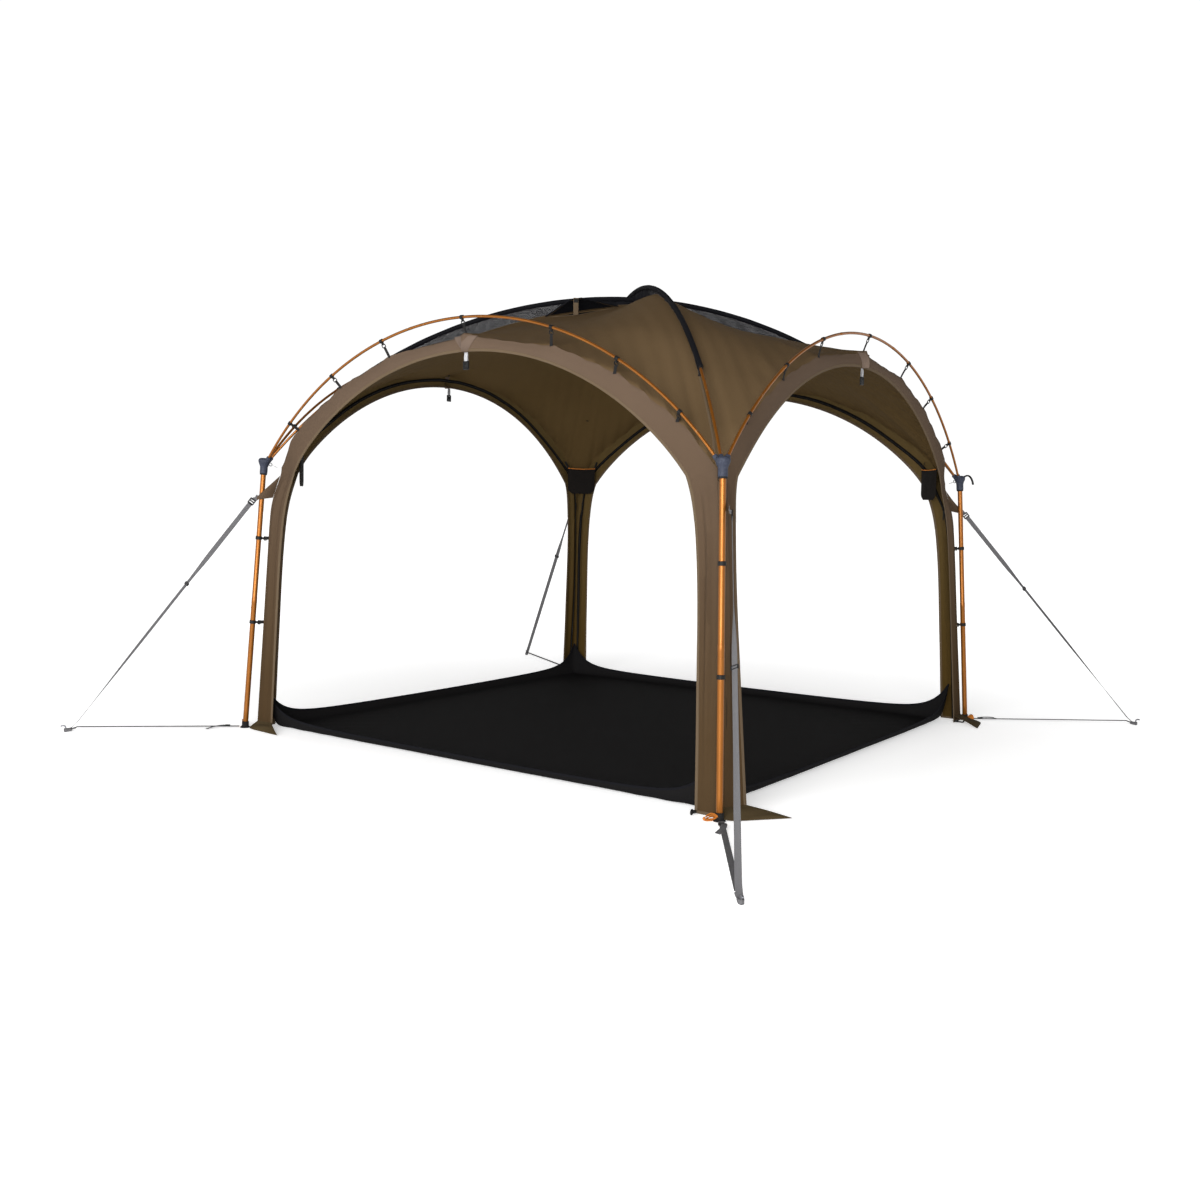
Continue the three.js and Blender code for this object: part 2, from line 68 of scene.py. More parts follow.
# ---- sizes of the hub, canopy and guys, as the part has them ----
hub_height = 1.44
socket_offset = 0.02
socket_height = 1.456
sleeve_radius = 0.0135
sleeve_half_span = 1.59
crease_offset = 1.395
crease_top = 2.05
corner_height = 1.43
apex_drop = 0.028
ridge_sag = 0.04
crest_sag = 0.018
upper_gap = 0.008
corner_draw = 0.048
opening_top = 1.975
seam_height = 1.4
opening_at_seam = 1.235
band_fan = 0.9
leg_corner_at_ground = 1.455
leg_edge_heights = (0.0, 0.5, 1.04, 1.29, 1.35, 1.4)
leg_edge_offsets = (1.332, 1.32, 1.3, 1.269, 1.254, 1.235)
cloth = 0.0016

clip_places = (0.0, 0.51, 0.86, 1.185)  # along each side arch, both ways from its middle
leg_clip_heights = (0.585, 1.045)

strap_width = 0.025
strap_thickness = 0.0018
guy_start = Vector((2.087, 0.025, 1.232))
join_back = 0.045
join_height = 0.035
slider_turn = math.radians(52)
slider_travel = 0.3

# Each corner's leg_foot is how its leg is pulled out at the ground: its corner, then the widening of its two walls,
# then how far beyond the corner's own line the inner edge of each wall is. Its flaps are, for each wall, how far the
# storm flap's tip is out from the wall and along it.
corners = {
    "front_left": dict(bearing=-135, ridge="lower", peg_reach=3.035, peg_swing=1.5, slider=0.795, twist=-1,
                       leg_foot=(0, 0, 0, 0, 0), flaps={-1: (0.07, -0.12), 1: (0.087, -0.15)}),
    "front_right": dict(bearing=-45, ridge="upper", peg_reach=3.117, peg_swing=-3.6, slider=0.69, twist=1,
                        leg_foot=(0, -0.024, 0, 0, 0.08), flaps={1: (0.121, -0.144)}),
    "back_right": dict(bearing=45, ridge="lower", peg_reach=3.12, peg_swing=-4.2, slider=0.81, twist=1,
                       leg_foot=(0.025, -0.025, -0.025, 0, 0), flaps={-1: (0.175, -0.105), 1: (0.16, -0.09)}),
    "back_left": dict(bearing=135, ridge="upper", peg_reach=3.03, peg_swing=4.7, slider=0.85, twist=1,
                      leg_foot=(0, 0, 0, 0, 0), flaps={-1: (0.16, -0.09), 1: (0.16, -0.09)}),
}
sides = {"front": 0, "right": 90, "back": 180, "left": 270}
X, Y, Z = Vector((1, 0, 0)), Vector((0, 1, 0)), Vector((0, 0, 1))


def turned(bearing):
    return Matrix.Rotation(math.radians(bearing), 4, "Z")


def smooth_step(value):
    value = np.clip(value, 0, 1)
    return value * value * (3 - 2 * value)


# ---- camera ----
def add_camera():
    data = bpy.data.cameras.new("camera")
    data.sensor_width = 36
    data.lens = 35.9
    camera = bpy.data.objects.new("camera", data)
    heading = Matrix.Rotation(math.radians(35.4), 4, "Z")
    pitch = Matrix.Rotation(math.radians(90 - 4.82), 4, "X")
    roll = Matrix.Rotation(math.radians(1.21), 4, "Z")
    camera.matrix_world = Matrix.Translation((3.855, -5.684, 1.295)) @ heading @ pitch @ roll
    bpy.context.scene.collection.objects.link(camera)
    bpy.context.scene.camera = camera


add_camera()


# ---- materials ----
class Finish:
    """A material made of nodes. Cloth reads the weave attribute: metres along and across the yarns."""

    def __init__(self, name, roughness, metallic=0.0, sheen=0.0, coat=0.0, specular=0.5):
        self.material = bpy.data.materials.new(name)
        self.material.use_nodes = True
        self.nodes = self.material.node_tree.nodes
        self.links = self.material.node_tree.links
        self.shader = self.nodes["Principled BSDF"]
        self.shader.inputs["Roughness"].default_value = roughness
        self.shader.inputs["Metallic"].default_value = metallic
        self.shader.inputs["Specular IOR Level"].default_value = specular
        self.shader.inputs["Sheen Weight"].default_value = sheen
        self.shader.inputs["Sheen Roughness"].default_value = 0.45
        self.shader.inputs["Coat Weight"].default_value = coat
        self.shader.inputs["Coat Roughness"].default_value = 0.25

    def feed(self, socket, value):
        if isinstance(value, bpy.types.NodeSocket):
            self.links.new(value, socket)
        elif value is not None:
            socket.default_value = value

    def math(self, operation, first, second=None):
        node = self.nodes.new("ShaderNodeMath")
        node.operation = operation
        self.feed(node.inputs[0], first)
        self.feed(node.inputs[1], second)
        return node.outputs[0]

    def weave(self):
        attribute = self.nodes.new("ShaderNodeAttribute")
        attribute.attribute_name = "weave"
        split = self.nodes.new("ShaderNodeSeparateXYZ")
        self.links.new(attribute.outputs["Vector"], split.inputs[0])
        return split.outputs[0], split.outputs[1]

    def place(self, stretch=(1, 1, 1)):
        coordinates = self.nodes.new("ShaderNodeTexCoord")
        mapping = self.nodes.new("ShaderNodeMapping")
        mapping.inputs["Scale"].default_value = stretch
        self.links.new(coordinates.outputs["Object"], mapping.inputs["Vector"])
        return mapping.outputs[0]

    def noise(self, scale, detail=3.0, stretch=(1, 1, 1)):
        node = self.nodes.new("ShaderNodeTexNoise")
        node.inputs["Scale"].default_value = scale
        node.inputs["Detail"].default_value = detail
        self.links.new(self.place(stretch), node.inputs["Vector"])
        return node.outputs[0]

    def height_share(self, low, high):
        """From 0 at one height to 1 at the other."""
        split = self.nodes.new("ShaderNodeSeparateXYZ")
        self.links.new(self.place(), split.inputs[0])
        return self.math("DIVIDE", self.math("SUBTRACT", split.outputs[2], low), high - low)

    def multiplied(self, colour, factors):
        node = self.nodes.new("ShaderNodeVectorMath")
        node.operation = "MULTIPLY"
        self.links.new(colour, node.inputs[0])
        node.inputs[1].default_value = factors
        return node.outputs["Vector"]

    def spread(self, value, low, high):
        """value, from 0 to 1, carried to the range low to high."""
        node = self.nodes.new("ShaderNodeMapRange")
        self.feed(node.inputs["Value"], value)
        node.inputs["From Min"].default_value = 0.25
        node.inputs["From Max"].default_value = 0.75
        node.inputs["To Min"].default_value = low
        node.inputs["To Max"].default_value = high
        return node.outputs[0]

    def blend(self, share, first, second):
        node = self.nodes.new("ShaderNodeMix")
        node.data_type = "RGBA"
        self.feed(node.inputs["Factor"], share)
        for socket, value in ((node.inputs[6], first), (node.inputs[7], second)):
            self.feed(socket, (*value, 1) if isinstance(value, tuple) else value)
        return node.outputs[2]

    def colour(self, value):
        self.feed(self.shader.inputs["Base Color"], value)

    def bump(self, height, distance, strength=1.0, under=None):
        node = self.nodes.new("ShaderNodeBump")
        node.inputs["Distance"].default_value = distance
        node.inputs["Strength"].default_value = strength
        self.links.new(height, node.inputs["Height"])
        self.feed(node.inputs["Normal"], under)
        self.links.new(node.outputs[0], self.shader.inputs["Normal"])
        return node.outputs[0]

    def yarns(self, pitch):
        """A plain weave's height: yarns pass over and under each other at this pitch."""
        along, across = self.weave()
        turn = math.tau / (2 * pitch)
        first = self.math("SINE", self.math("MULTIPLY", along, turn))
        second = self.math("SINE", self.math("MULTIPLY", across, turn))
        return self.math("MULTIPLY_ADD", self.math("MULTIPLY", first, second), 0.5)


def woven(name, light, pitch, roughness=0.85, specular=0.1, patches=0.06, crinkle=0.0, painted_shade_low=None):
    """Cloth: a plain weave with yarn-to-yarn variation, broad uneven patches and, where asked, fine creases.
    Where it is asked, the colour is multiplied by a painted-shade factor near the ground: painted shade, darker towards
    the ground."""
    finish = Finish(name, roughness, specular=specular)
    dark = tuple(0.7 * c for c in light)
    weave = finish.yarns(pitch)
    yarn_colour = finish.blend(finish.spread(weave, 0.35, 0.65), dark, light)
    mottle = finish.spread(finish.noise(2.3, 5), 0, patches)
    faded = finish.blend(mottle, yarn_colour, tuple(min(1, 1.9 * c + 0.02) for c in light))
    slubs = finish.spread(finish.noise(260, 2, (1, 1, 3)), 0, 0.35)
    colour = finish.blend(slubs, faded, dark)
    # painted shade: below 1.9 m the colour is darkened by the factor, fully below 0.3 m, where less light falls
    if painted_shade_low:
        colour = finish.blend(finish.height_share(0.3, 1.9), finish.multiplied(colour, painted_shade_low), colour)
    finish.colour(colour)
    under = finish.bump(finish.noise(9, 6), 0.004, crinkle) if crinkle else None
    finish.bump(weave, pitch * 0.25, 0.7, under)
    return finish.material


def webbing_finish(name, light, dark, pitch):
    """Herringbone webbing: diagonal ribs that mirror at the middle of the strap."""
    finish = Finish(name, 0.75, specular=0.12)
    along, across = finish.weave()
    slant = finish.math("ADD", along, finish.math("ABSOLUTE", across))
    ribs = finish.math("SINE", finish.math("MULTIPLY", slant, math.tau / pitch))
    height = finish.math("MULTIPLY_ADD", ribs, 0.5)
    height.node.inputs[2].default_value = 0.5
    worn = finish.blend(finish.spread(finish.noise(14, 4), 0, 0.2), finish.blend(height, dark, light), light)
    finish.colour(worn)
    finish.bump(height, pitch * 0.2, 0.8)
    return finish.material


def anodised_finish():
    """Orange anodised tube: drawn lines along it, slight colour drift and a few rubbed marks."""
    finish = Finish("anodised_orange", 0.44, metallic=0.65)
    drift = finish.spread(finish.noise(6, 3), 0, 1)
    base = finish.blend(drift, (0.190, 0.062, 0.005), (0.225, 0.076, 0.007))
    rubbed = finish.math("GREATER_THAN", finish.noise(55, 8, (1, 1, 0.15)), 0.69)
    finish.colour(finish.blend(finish.math("MULTIPLY", rubbed, 0.35), base, (0.40, 0.25, 0.12)))
    lines = finish.noise(700, 2, (1, 1, 0.03))
    finish.feed(finish.shader.inputs["Roughness"], finish.spread(lines, 0.30, 0.42))
    finish.bump(lines, 0.0002, 0.25)
    return finish.material


def moulded_finish(name, light, dark, roughness, grain=1400):
    """Moulded plastic or rubber: spark-eroded grain, uneven gloss, and paler scuffs."""
    finish = Finish(name, roughness, specular=0.12)
    pores = finish.noise(grain, 3)
    base = finish.blend(finish.spread(finish.noise(30, 4), 0, 1), dark, light)
    scuff = finish.spread(finish.noise(120, 8), -0.25, 0.22)
    finish.colour(finish.blend(scuff, base, tuple(min(1, 2.2 * c + 0.03) for c in light)))
    finish.feed(finish.shader.inputs["Roughness"], finish.spread(pores, roughness - 0.06, roughness + 0.1))
    finish.bump(pores, 0.0003, 0.35)
    return finish.material


def steel_finish():
    """Dark zinc-coated steel with a fine cast texture."""
    finish = Finish("coated_steel", 0.4, metallic=0.9)
    finish.colour(finish.blend(finish.spread(finish.noise(90, 6), 0, 1), (0.10, 0.10, 0.11), (0.24, 0.24, 0.26)))
    finish.feed(finish.shader.inputs["Roughness"], finish.spread(finish.noise(200, 4), 0.3, 0.55))
    finish.bump(finish.noise(600, 4), 0.0002, 0.4)
    return finish.material


def netting_finish(name, light, dark, pitch, openness):
    """Knitted mesh: the yarns are solid and the holes between them are clear."""
    finish = Finish(name, 0.8, specular=0.06)
    along, across = finish.weave()
    waves = [finish.math("SINE", finish.math("MULTIPLY", way, math.tau / pitch)) for way in (along, across)]
    hole = finish.math("MULTIPLY", *[finish.math("GREATER_THAN", wave, openness) for wave in waves])
    finish.feed(finish.shader.inputs["Alpha"], finish.math("SUBTRACT", 1.0, hole))
    finish.colour(finish.blend(finish.spread(finish.noise(25, 4), 0, 1), dark, light))
    finish.bump(finish.math("ADD", *waves), pitch * 0.1, 0.5)
    return finish.material


# painted shade: factors that darken the wall cloth and its inner face towards the ground
painted_shade_on_leg = (0.61, 0.54, 0.36)
# the roof cloth and the wall cloth are one fabric: the wall colour is greyer and bluer than the roof colour, a painted
# reflection of the light on faces that face the front
roof_outside = woven("roof_cloth", (0.092, 0.059, 0.029), 0.0011, specular=0.03)
# the inner faces are the same cloth as the outer ones: their yellower colour is painted light shining through the cloth
roof_inside_painted_light = woven("roof_inner_face_painted_light", (0.085, 0.053, 0.020), 0.0011, specular=0.02)
wall_outside_painted_light = woven("wall_cloth_painted_light", (0.084, 0.057, 0.039), 0.0011, specular=0.05, painted_shade_low=painted_shade_on_leg)
wall_inside_painted_light = woven("wall_inner_face_painted_light", (0.092, 0.062, 0.024), 0.0011, specular=0.02, painted_shade_low=painted_shade_on_leg)
tab_cloth = woven("tab_cloth", (0.108, 0.078, 0.060), 0.0011, specular=0.05)
flap_cloth = woven("flap_cloth", (0.064, 0.045, 0.022), 0.0011, specular=0.03)
binding_brown = woven("brown_binding", (0.090, 0.063, 0.038), 0.0016)
sleeve_cloth = woven("sleeve_cloth", (0.0055, 0.0055, 0.0070), 0.0014, specular=0.05, crinkle=0.4)
pocket_cloth = woven("pocket_cloth", (0.0085, 0.0070, 0.0062), 0.0016, specular=0.05, crinkle=0.3)
floor_cloth = woven("floor_cloth", (0.0085, 0.0081, 0.0083), 0.0013, specular=0.02, patches=0.02, crinkle=0.25)
zip_tape = woven("zip_tape", (0.0055, 0.0045, 0.0040), 0.0012, specular=0.05)
orange_trim = woven("orange_trim", (0.45, 0.15, 0.025), 0.0012)
pale_cord = woven("pale_cord", (0.40, 0.40, 0.40), 0.0008)
grey_webbing = webbing_finish("grey_webbing", (0.112, 0.110, 0.114), (0.066, 0.065, 0.068), 0.0026)
black_webbing = webbing_finish("black_webbing", (0.012, 0.011, 0.011), (0.006, 0.006, 0.006), 0.0024)
pale_webbing = webbing_finish("pale_webbing", (0.36, 0.36, 0.37), (0.22, 0.22, 0.23), 0.0024)
anodised = anodised_finish()
slate_plastic = moulded_finish("slate_plastic", (0.026, 0.030, 0.045), (0.020, 0.023, 0.035), 0.5)
black_plastic = moulded_finish("black_plastic", (0.008, 0.008, 0.008), (0.005, 0.005, 0.005), 0.5)
black_rubber = moulded_finish("black_rubber", (0.011, 0.010, 0.010), (0.007, 0.007, 0.007), 0.75, 900)
coated_steel = steel_finish()
grey_netting = netting_finish("grey_netting", (0.026, 0.025, 0.027), (0.010, 0.010, 0.011), 0.0034, 0.76)
black_netting = netting_finish("black_netting", (0.007, 0.007, 0.008), (0.004, 0.004, 0.005), 0.0030, 0.6)


# ---- mesh code ----
def directions_along(path):
    """The tangent at each point of a path and a pair of normals that turn with it as little as they can."""
    path = np.asarray(path, float)
    tangents = np.gradient(path, axis=0)
    tangents /= np.linalg.norm(tangents, axis=1)[:, None]
    normal = np.array((0.0, 0.0, 1.0)) if abs(tangents[0][2]) < 0.9 else np.array((1.0, 0.0, 0.0))
    normals = []
    for tangent in tangents:
        normal = normal - tangent * (normal @ tangent)
        normal = normal / np.linalg.norm(normal)
        normals.append(normal)
    normals = np.array(normals)
    return tangents, normals, np.cross(tangents, normals)


def distances_along(path):
    steps = np.linalg.norm(np.diff(np.asarray(path, float), axis=0), axis=1)
    return np.concatenate(([0.0], np.cumsum(steps)))


def curve_through(points, count):
    """A smooth path of count points through the given ones (Catmull-Rom)."""
    points = np.asarray(points, float)
    ends = np.vstack((2 * points[0] - points[1], points, 2 * points[-1] - points[-2]))
    path = []
    for step in range(count):
        place = step / (count - 1) * (len(points) - 1)
        span = min(int(place), len(points) - 2)
        t = place - span
        a, b, c, d = ends[span : span + 4]
        path.append(0.5 * (2 * b + (c - a) * t + (2 * a - 5 * b + 4 * c - d) * t**2 + (3 * b - a - 3 * c + d) * t**3))
    return np.array(path)


class Shell:
    """Closed bodies gathered into one mesh. Each vertex has its place in the weave, metres along and across."""

    def __init__(self):
        self.points = []
        self.faces = []
        self.weave = []
        self.slots = []

    def add(self, points, faces, weave=None, slot=0):
        start = len(self.points)
        points = [tuple(float(c) for c in point) for point in points]
        self.points += points
        self.faces += [tuple(start + i for i in face) for face in faces]
        self.weave += [(p[0] + p[1], p[2]) for p in points] if weave is None else [tuple(w) for w in weave]
        self.slots += [slot] * len(faces)
        return self

    def sweep(self, rings, weave=None, slot=0):
        """Rings of equal count, each joined to the next, with both ends closed."""
        count = len(rings[0])
        faces = []
        for row in range(len(rings) - 1):
            for i in range(count):
                j = (i + 1) % count
                faces.append((row * count + i, row * count + j, (row + 1) * count + j, (row + 1) * count + i))
        faces.append(tuple(range(count - 1, -1, -1)))
        faces.append(tuple((len(rings) - 1) * count + i for i in range(count)))
        return self.add([point for ring in rings for point in ring], faces, weave, slot)

    def tube(self, path, radius, segments=12, slot=0):
        path = np.asarray(path, float)
        radii = np.broadcast_to(radius, len(path))
        _, normals, others = directions_along(path)
        angles = np.arange(segments) * math.tau / segments
        rings = [
            centre + r * (np.outer(np.cos(angles), normal) + np.outer(np.sin(angles), other))
            for centre, normal, other, r in zip(path, normals, others, radii)
        ]
        along = distances_along(path)
        weave = [(a, angle * r) for a, r in zip(along, radii) for angle in angles]
        return self.sweep(rings, weave, slot)

    def strap(self, path, across, width=strap_width, thickness=strap_thickness, slot=0):
        """Flat webbing or tape: across is the direction of its width, one for all or one for each point."""
        path = np.asarray(path, float)
        across = np.broadcast_to(np.asarray(across, float), path.shape)
        tangents = directions_along(path)[0]
        across = across - tangents * np.sum(across * tangents, axis=1)[:, None]
        across = across / np.linalg.norm(across, axis=1)[:, None]
        faces = np.cross(tangents, across)
        half, rise = width / 2, thickness / 2
        outline = [(-half, 0), (rise - half, -rise), (0, -rise), (half - rise, -rise)]
        outline += [(half, 0), (half - rise, rise), (0, rise), (rise - half, rise)]
        rings = [[p + u * a + v * f for u, v in outline] for p, a, f in zip(path, across, faces)]
        weave = [(d, u) for d in distances_along(path) for u, _ in outline]
        return self.sweep(rings, weave, slot)

    def lathe(self, profile, matrix=Matrix(), segments=32, slot=0):
        """A turned body about the matrix's Z axis, from (radius, height) pairs, flat at both ends."""
        rings = []
        for radius, height in profile:
            angles = [math.tau * i / segments for i in range(segments)]
            rings.append([matrix @ Vector((radius * math.cos(a), radius * math.sin(a), height)) for a in angles])
        return self.sweep(rings, None, slot)

    def block(self, size, matrix=Matrix(), edge=0.0012, slot=0):
        """A box with rounded edges."""
        body = bmesh.new()
        bmesh.ops.create_cube(body, size=1, matrix=Matrix.Diagonal((*size, 1)))
        bmesh.ops.bevel(body, geom=body.edges[:], offset=edge, segments=2, profile=0.5, affect="EDGES")
        body.transform(matrix)
        body.verts.index_update()
        self.add([v.co for v in body.verts], [[v.index for v in f.verts] for f in body.faces], None, slot)
        body.free()
        return self

    def leaf(self, grid, thickness, slot=0):
        """A closed sheet from a grid of points, thickened on the side that its normals point away from."""
        grid = np.asarray(grid, float)
        rows, columns = grid.shape[:2]
        down, side = np.gradient(grid, axis=0), np.gradient(grid, axis=1)
        normals = np.cross(down, side)
        normals /= np.maximum(np.linalg.norm(normals, axis=2), 1e-12)[..., None]
        points = np.concatenate((grid.reshape(-1, 3), (grid - normals * thickness).reshape(-1, 3)))
        at = lambda row, column, face: face * rows * columns + row * columns + column
        faces = []
        for row in range(rows - 1):
            for column in range(columns - 1):
                square = [(row, column), (row + 1, column), (row + 1, column + 1), (row, column + 1)]
                faces.append([at(r, c, 0) for r, c in square])
                faces.append([at(r, c, 1) for r, c in reversed(square)])
        rim = [(0, c) for c in range(columns)] + [(r, columns - 1) for r in range(1, rows)]
        rim += [(rows - 1, c) for c in range(columns - 2, -1, -1)] + [(r, 0) for r in range(rows - 2, 0, -1)]
        for first, second in zip(rim, rim[1:] + rim[:1]):
            faces.append([at(*first, 0), at(*second, 0), at(*second, 1), at(*first, 1)])
        along = np.cumsum(np.concatenate((np.zeros((1, columns)), np.linalg.norm(np.diff(grid, axis=0), axis=2))), 0)
        beside = np.cumsum(np.concatenate((np.zeros((rows, 1)), np.linalg.norm(np.diff(grid, axis=1), axis=2)), 1), 1)
        weave = np.stack((along, beside), 2).reshape(-1, 2)
        return self.add(points, faces, np.concatenate((weave, weave)), slot)

    def mesh(self, name, sharp=35):
        mesh = bpy.data.meshes.new(name)
        mesh.from_pydata(self.points, [], self.faces)
        facing = bmesh.new()
        facing.from_mesh(mesh)
        bmesh.ops.recalc_face_normals(facing, faces=facing.faces[:])
        facing.to_mesh(mesh)
        facing.free()
        mesh.polygons.foreach_set("material_index", self.slots)
        finish_mesh(mesh, sharp)
        store_weave(mesh, self.weave)
        return mesh

    def piece(self, name, materials, slot, body="frame", matrix=Matrix(), sharp=35):
        return add_piece(name, self.mesh(name, sharp), materials, body, matrix)


def finish_mesh(mesh, sharp):
    mesh.polygons.foreach_set("use_smooth", [True] * len(mesh.polygons))
    mesh.set_sharp_from_angle(angle=math.radians(sharp))


def store_weave(mesh, weave):
    attribute = mesh.attributes.new("weave", "FLOAT_VECTOR", "POINT")
    attribute.data.foreach_set("vector", [c for along, across in weave for c in (along, across, 0.0)])


def add_piece(name, mesh, materials, body="frame", matrix=Matrix()):
    for material in materials if isinstance(materials, (list, tuple)) else [materials]:
        mesh.materials.append(material)
    piece = bpy.data.objects.new(name, mesh)
    piece.matrix_world = matrix
    bpy.context.scene.collection.objects.link(piece)
    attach(piece, body)
    return piece


def axes(x_way, y_way, place):
    """A matrix with these X and Y directions, made square, at this place."""
    x = Vector(x_way).normalized()
    z = x.cross(Vector(y_way)).normalized()
    y = z.cross(x)
    return Matrix.Translation(place) @ Matrix((x, y, z)).transposed().to_4x4()


# ---- guys and ground straps ----
def guy_points(corner):
    """Where a corner's guy starts, joins its ground strap and ends, in the corner's frame."""
    swing = math.radians(corner["peg_swing"])
    outward = Vector((math.cos(swing), math.sin(swing), 0))
    join = outward * (corner["peg_reach"] - join_back) + Z * join_height
    peg = outward * corner["peg_reach"]
    return outward, join, peg


def guy_slope(corner):
    """The direction of a guy, the level across it, and the direction square to both."""
    _, join, _ = guy_points(corner)
    along = (join - guy_start).normalized()
    level = Z.cross(along).normalized()
    return along, level, along.cross(level)


def slider_distance(corner):
    _, join, _ = guy_points(corner)
    share = (guy_start.z - corner["slider"]) / (guy_start.z - join_height)
    return share * (join - guy_start).length


def guy_across(corner, distance):
    """The way across a guy's webbing: on edge at its buckle, eased where its slider travels, flat at the peg."""
    _, join, _ = guy_points(corner)
    _, level, steep = guy_slope(corner)
    slider = slider_distance(corner)
    flat_from = slider + slider_travel
    eased = float(smooth_step((distance / (slider - 0.03) - 0.6) / 0.4))
    flattened = float(smooth_step((distance - flat_from) / ((join - guy_start).length - 0.03 - flat_from)))
    angle = corner["twist"] * (slider_turn * eased + (math.pi / 2 - slider_turn) * flattened)
    return steep * math.cos(angle) + level * math.sin(angle)


def guy_strap(name, corner):
    """The guy's webbing, from its buckle down to the peg, where it ends in a loop."""
    outward, join, peg = guy_points(corner)
    along, level, _ = guy_slope(corner)
    distances = np.linspace(0, (join - guy_start).length - 0.02, 36)
    path = [guy_start + along * distance for distance in distances]
    across = [guy_across(corner, distance) for distance in distances]
    end = peg - outward * 0.006 + Z * 0.012
    for share in (0.35, 0.7, 1.0):
        path.append(join.lerp(end, share))
        across.append(level * corner["twist"])
    turn = turned(corner["bearing"])
    path = [turn @ p for p in path]
    across = [turn.to_3x3() @ a for a in across]
    strap = Shell().strap(path, across).piece(f"guy_webbing_{name}", grey_webbing, "webbing_grey")
    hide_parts(f"guy_strap_{name}")
    return strap, path


def ground_strap(name, corner):
    outward, join, _ = guy_points(corner)
    _, level, _ = guy_slope(corner)
    start = Vector((foot_offset * diagonal + 0.031, 0, 0.008))
    end = join - outward * 0.009 - Z * 0.007
    turn = turned(corner["bearing"])
    path = [turn @ start.lerp(end, share) for share in np.linspace(0, 1, 16)]
    strap = Shell().strap(path, turn.to_3x3() @ level).piece(f"foot_webbing_{name}", grey_webbing, "webbing_grey")
    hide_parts(f"ground_strap_{name}")
    return strap, path


def ladder_lock(name, corner):
    """A moulded buckle with a bar between two slots and a grip lip at its lower edge."""
    along, level, steep = guy_slope(corner)
    place = axes(steep, along, guy_start - along * 0.014)
    lock = Shell()
    half_width, half_length, rail = 0.0172, 0.0125, 0.0060
    for side in (-1, 1):
        lock.block((rail, 2 * half_length + rail, 0.005), place @ Matrix.Translation((side * (half_width - rail / 2), 0, 0)))
    for y in (-half_length, 0, half_length):
        lock.block((2 * half_width - 0.002, 0.0068, 0.0052), place @ Matrix.Translation((0, y, 0)))
    lip = place @ Matrix.Translation((0, half_length + 0.003, 0.002)) @ Matrix.Rotation(math.radians(25), 4, "X")
    lock.block((2 * half_width - 0.004, 0.006, 0.0025), lip, 0.0008)
    piece = lock.piece(f"guy_buckle_{name}", black_plastic, "hardware_black", matrix=turned(corner["bearing"]))
    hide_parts(f"ladder_lock_{name}")
    return piece


def guy_slider(name, corner):
    """A three-bar slider that the webbing is threaded through."""
    along, _, _ = guy_slope(corner)
    distance = slider_distance(corner)
    place = axes(guy_across(corner, distance), along, guy_start + along * distance)
    slider = Shell()
    for side in (-1, 1):
        slider.block((0.0034, 0.017, 0.0078), place @ Matrix.Translation((side * 0.0149, 0, 0)))
    for y, z in ((-0.0068, 0.0028), (0.0068, 0.0028), (-0.0068, -0.0028), (0.0068, -0.0028), (0, 0.0032)):
        slider.block((0.029, 0.0034, 0.0022), place @ Matrix.Translation((0, y, z)), 0.0007)
    piece = slider.piece(
        f"webbing_slider_{name}", black_plastic, "hardware_black", f"guy_slider_{name}", turned(corner["bearing"])
    )
    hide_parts(f"guy_slider_{name}")
    return piece


def ground_peg(name, corner):
    """The top of a steel peg: a round shank that bends over into a hook pointing away from the shelter."""
    outward, _, peg = guy_points(corner)
    route = [(0, 0, 0.001), (0, 0, 0.012), (0, 0, 0.024), (0.0015, 0, 0.030), (0.006, 0, 0.0338), (0.014, 0, 0.0344)]
    route += [(0.021, 0, 0.0334), (0.0255, 0, 0.0305)]
    place = axes(outward, Z.cross(outward), peg)
    path = [place @ Vector(p) for p in curve_through(route, 30)]
    radii = np.full(30, 0.0039)
    radii[-3:] = (0.0036, 0.003, 0.0016)
    shank = Shell().tube(path, radii, 16)
    shank.lathe([(0.0046, 0.0), (0.0052, 0.001), (0.0052, 0.003), (0.0041, 0.0042)], place, 16)
    piece = shank.piece(f"steel_peg_{name}", coated_steel, "peg_steel", f"ground_peg_{name}", turned(corner["bearing"]))
    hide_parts(f"ground_peg_{name}")
    return piece


def peg_loop(name, corner):
    """The guy's end goes round the peg and is sewn back on itself."""
    outward, join, peg = guy_points(corner)
    _, level, _ = guy_slope(corner)
    place = axes(outward, level, peg + Z * 0.011)
    loop = [(-0.030, 0.0085, 0.004), (-0.016, 0.0095, 0.0015), (-0.004, 0.0095, 0), (0.005, 0.0072, 0)]
    loop += [(0.0088, 0, 0)]
    loop += [(x, -y, z) for x, y, z in reversed(loop[:-1])]
    path = [place @ Vector(p) for p in curve_through(loop, 41)]
    band = Shell().strap(path, Z, 0.017, 0.0018)
    patch = [place @ Vector(p) for p in ((-0.052, 0, 0.0125), (-0.04, 0, 0.009), (-0.028, 0, 0.0055))]
    band.strap(patch, level, 0.026, 0.0062)
    return band.piece(f"peg_loop_{name}", grey_webbing, "webbing_grey", matrix=turned(corner["bearing"]))


def foot_buckle(name, corner):
    """A buckle on the ground strap near the foot."""
    outward, join, _ = guy_points(corner)
    _, level, _ = guy_slope(corner)
    start = Vector((foot_offset * diagonal + 0.031, 0, 0.008))
    along = (join - start).normalized()
    place = axes(level, along, start + along * 0.062 + Z * 0.003)
    buckle = Shell()
    for side in (-1, 1):
        buckle.block((0.0045, 0.026, 0.0055), place @ Matrix.Translation((side * 0.0150, 0, 0)))
    for y in (-0.0115, 0, 0.0115):
        buckle.block((0.031, 0.0045, 0.0045), place @ Matrix.Translation((0, y, 0.0012)))
    return buckle.piece(f"foot_buckle_{name}", black_plastic, "hardware_black", matrix=turned(corner["bearing"]))


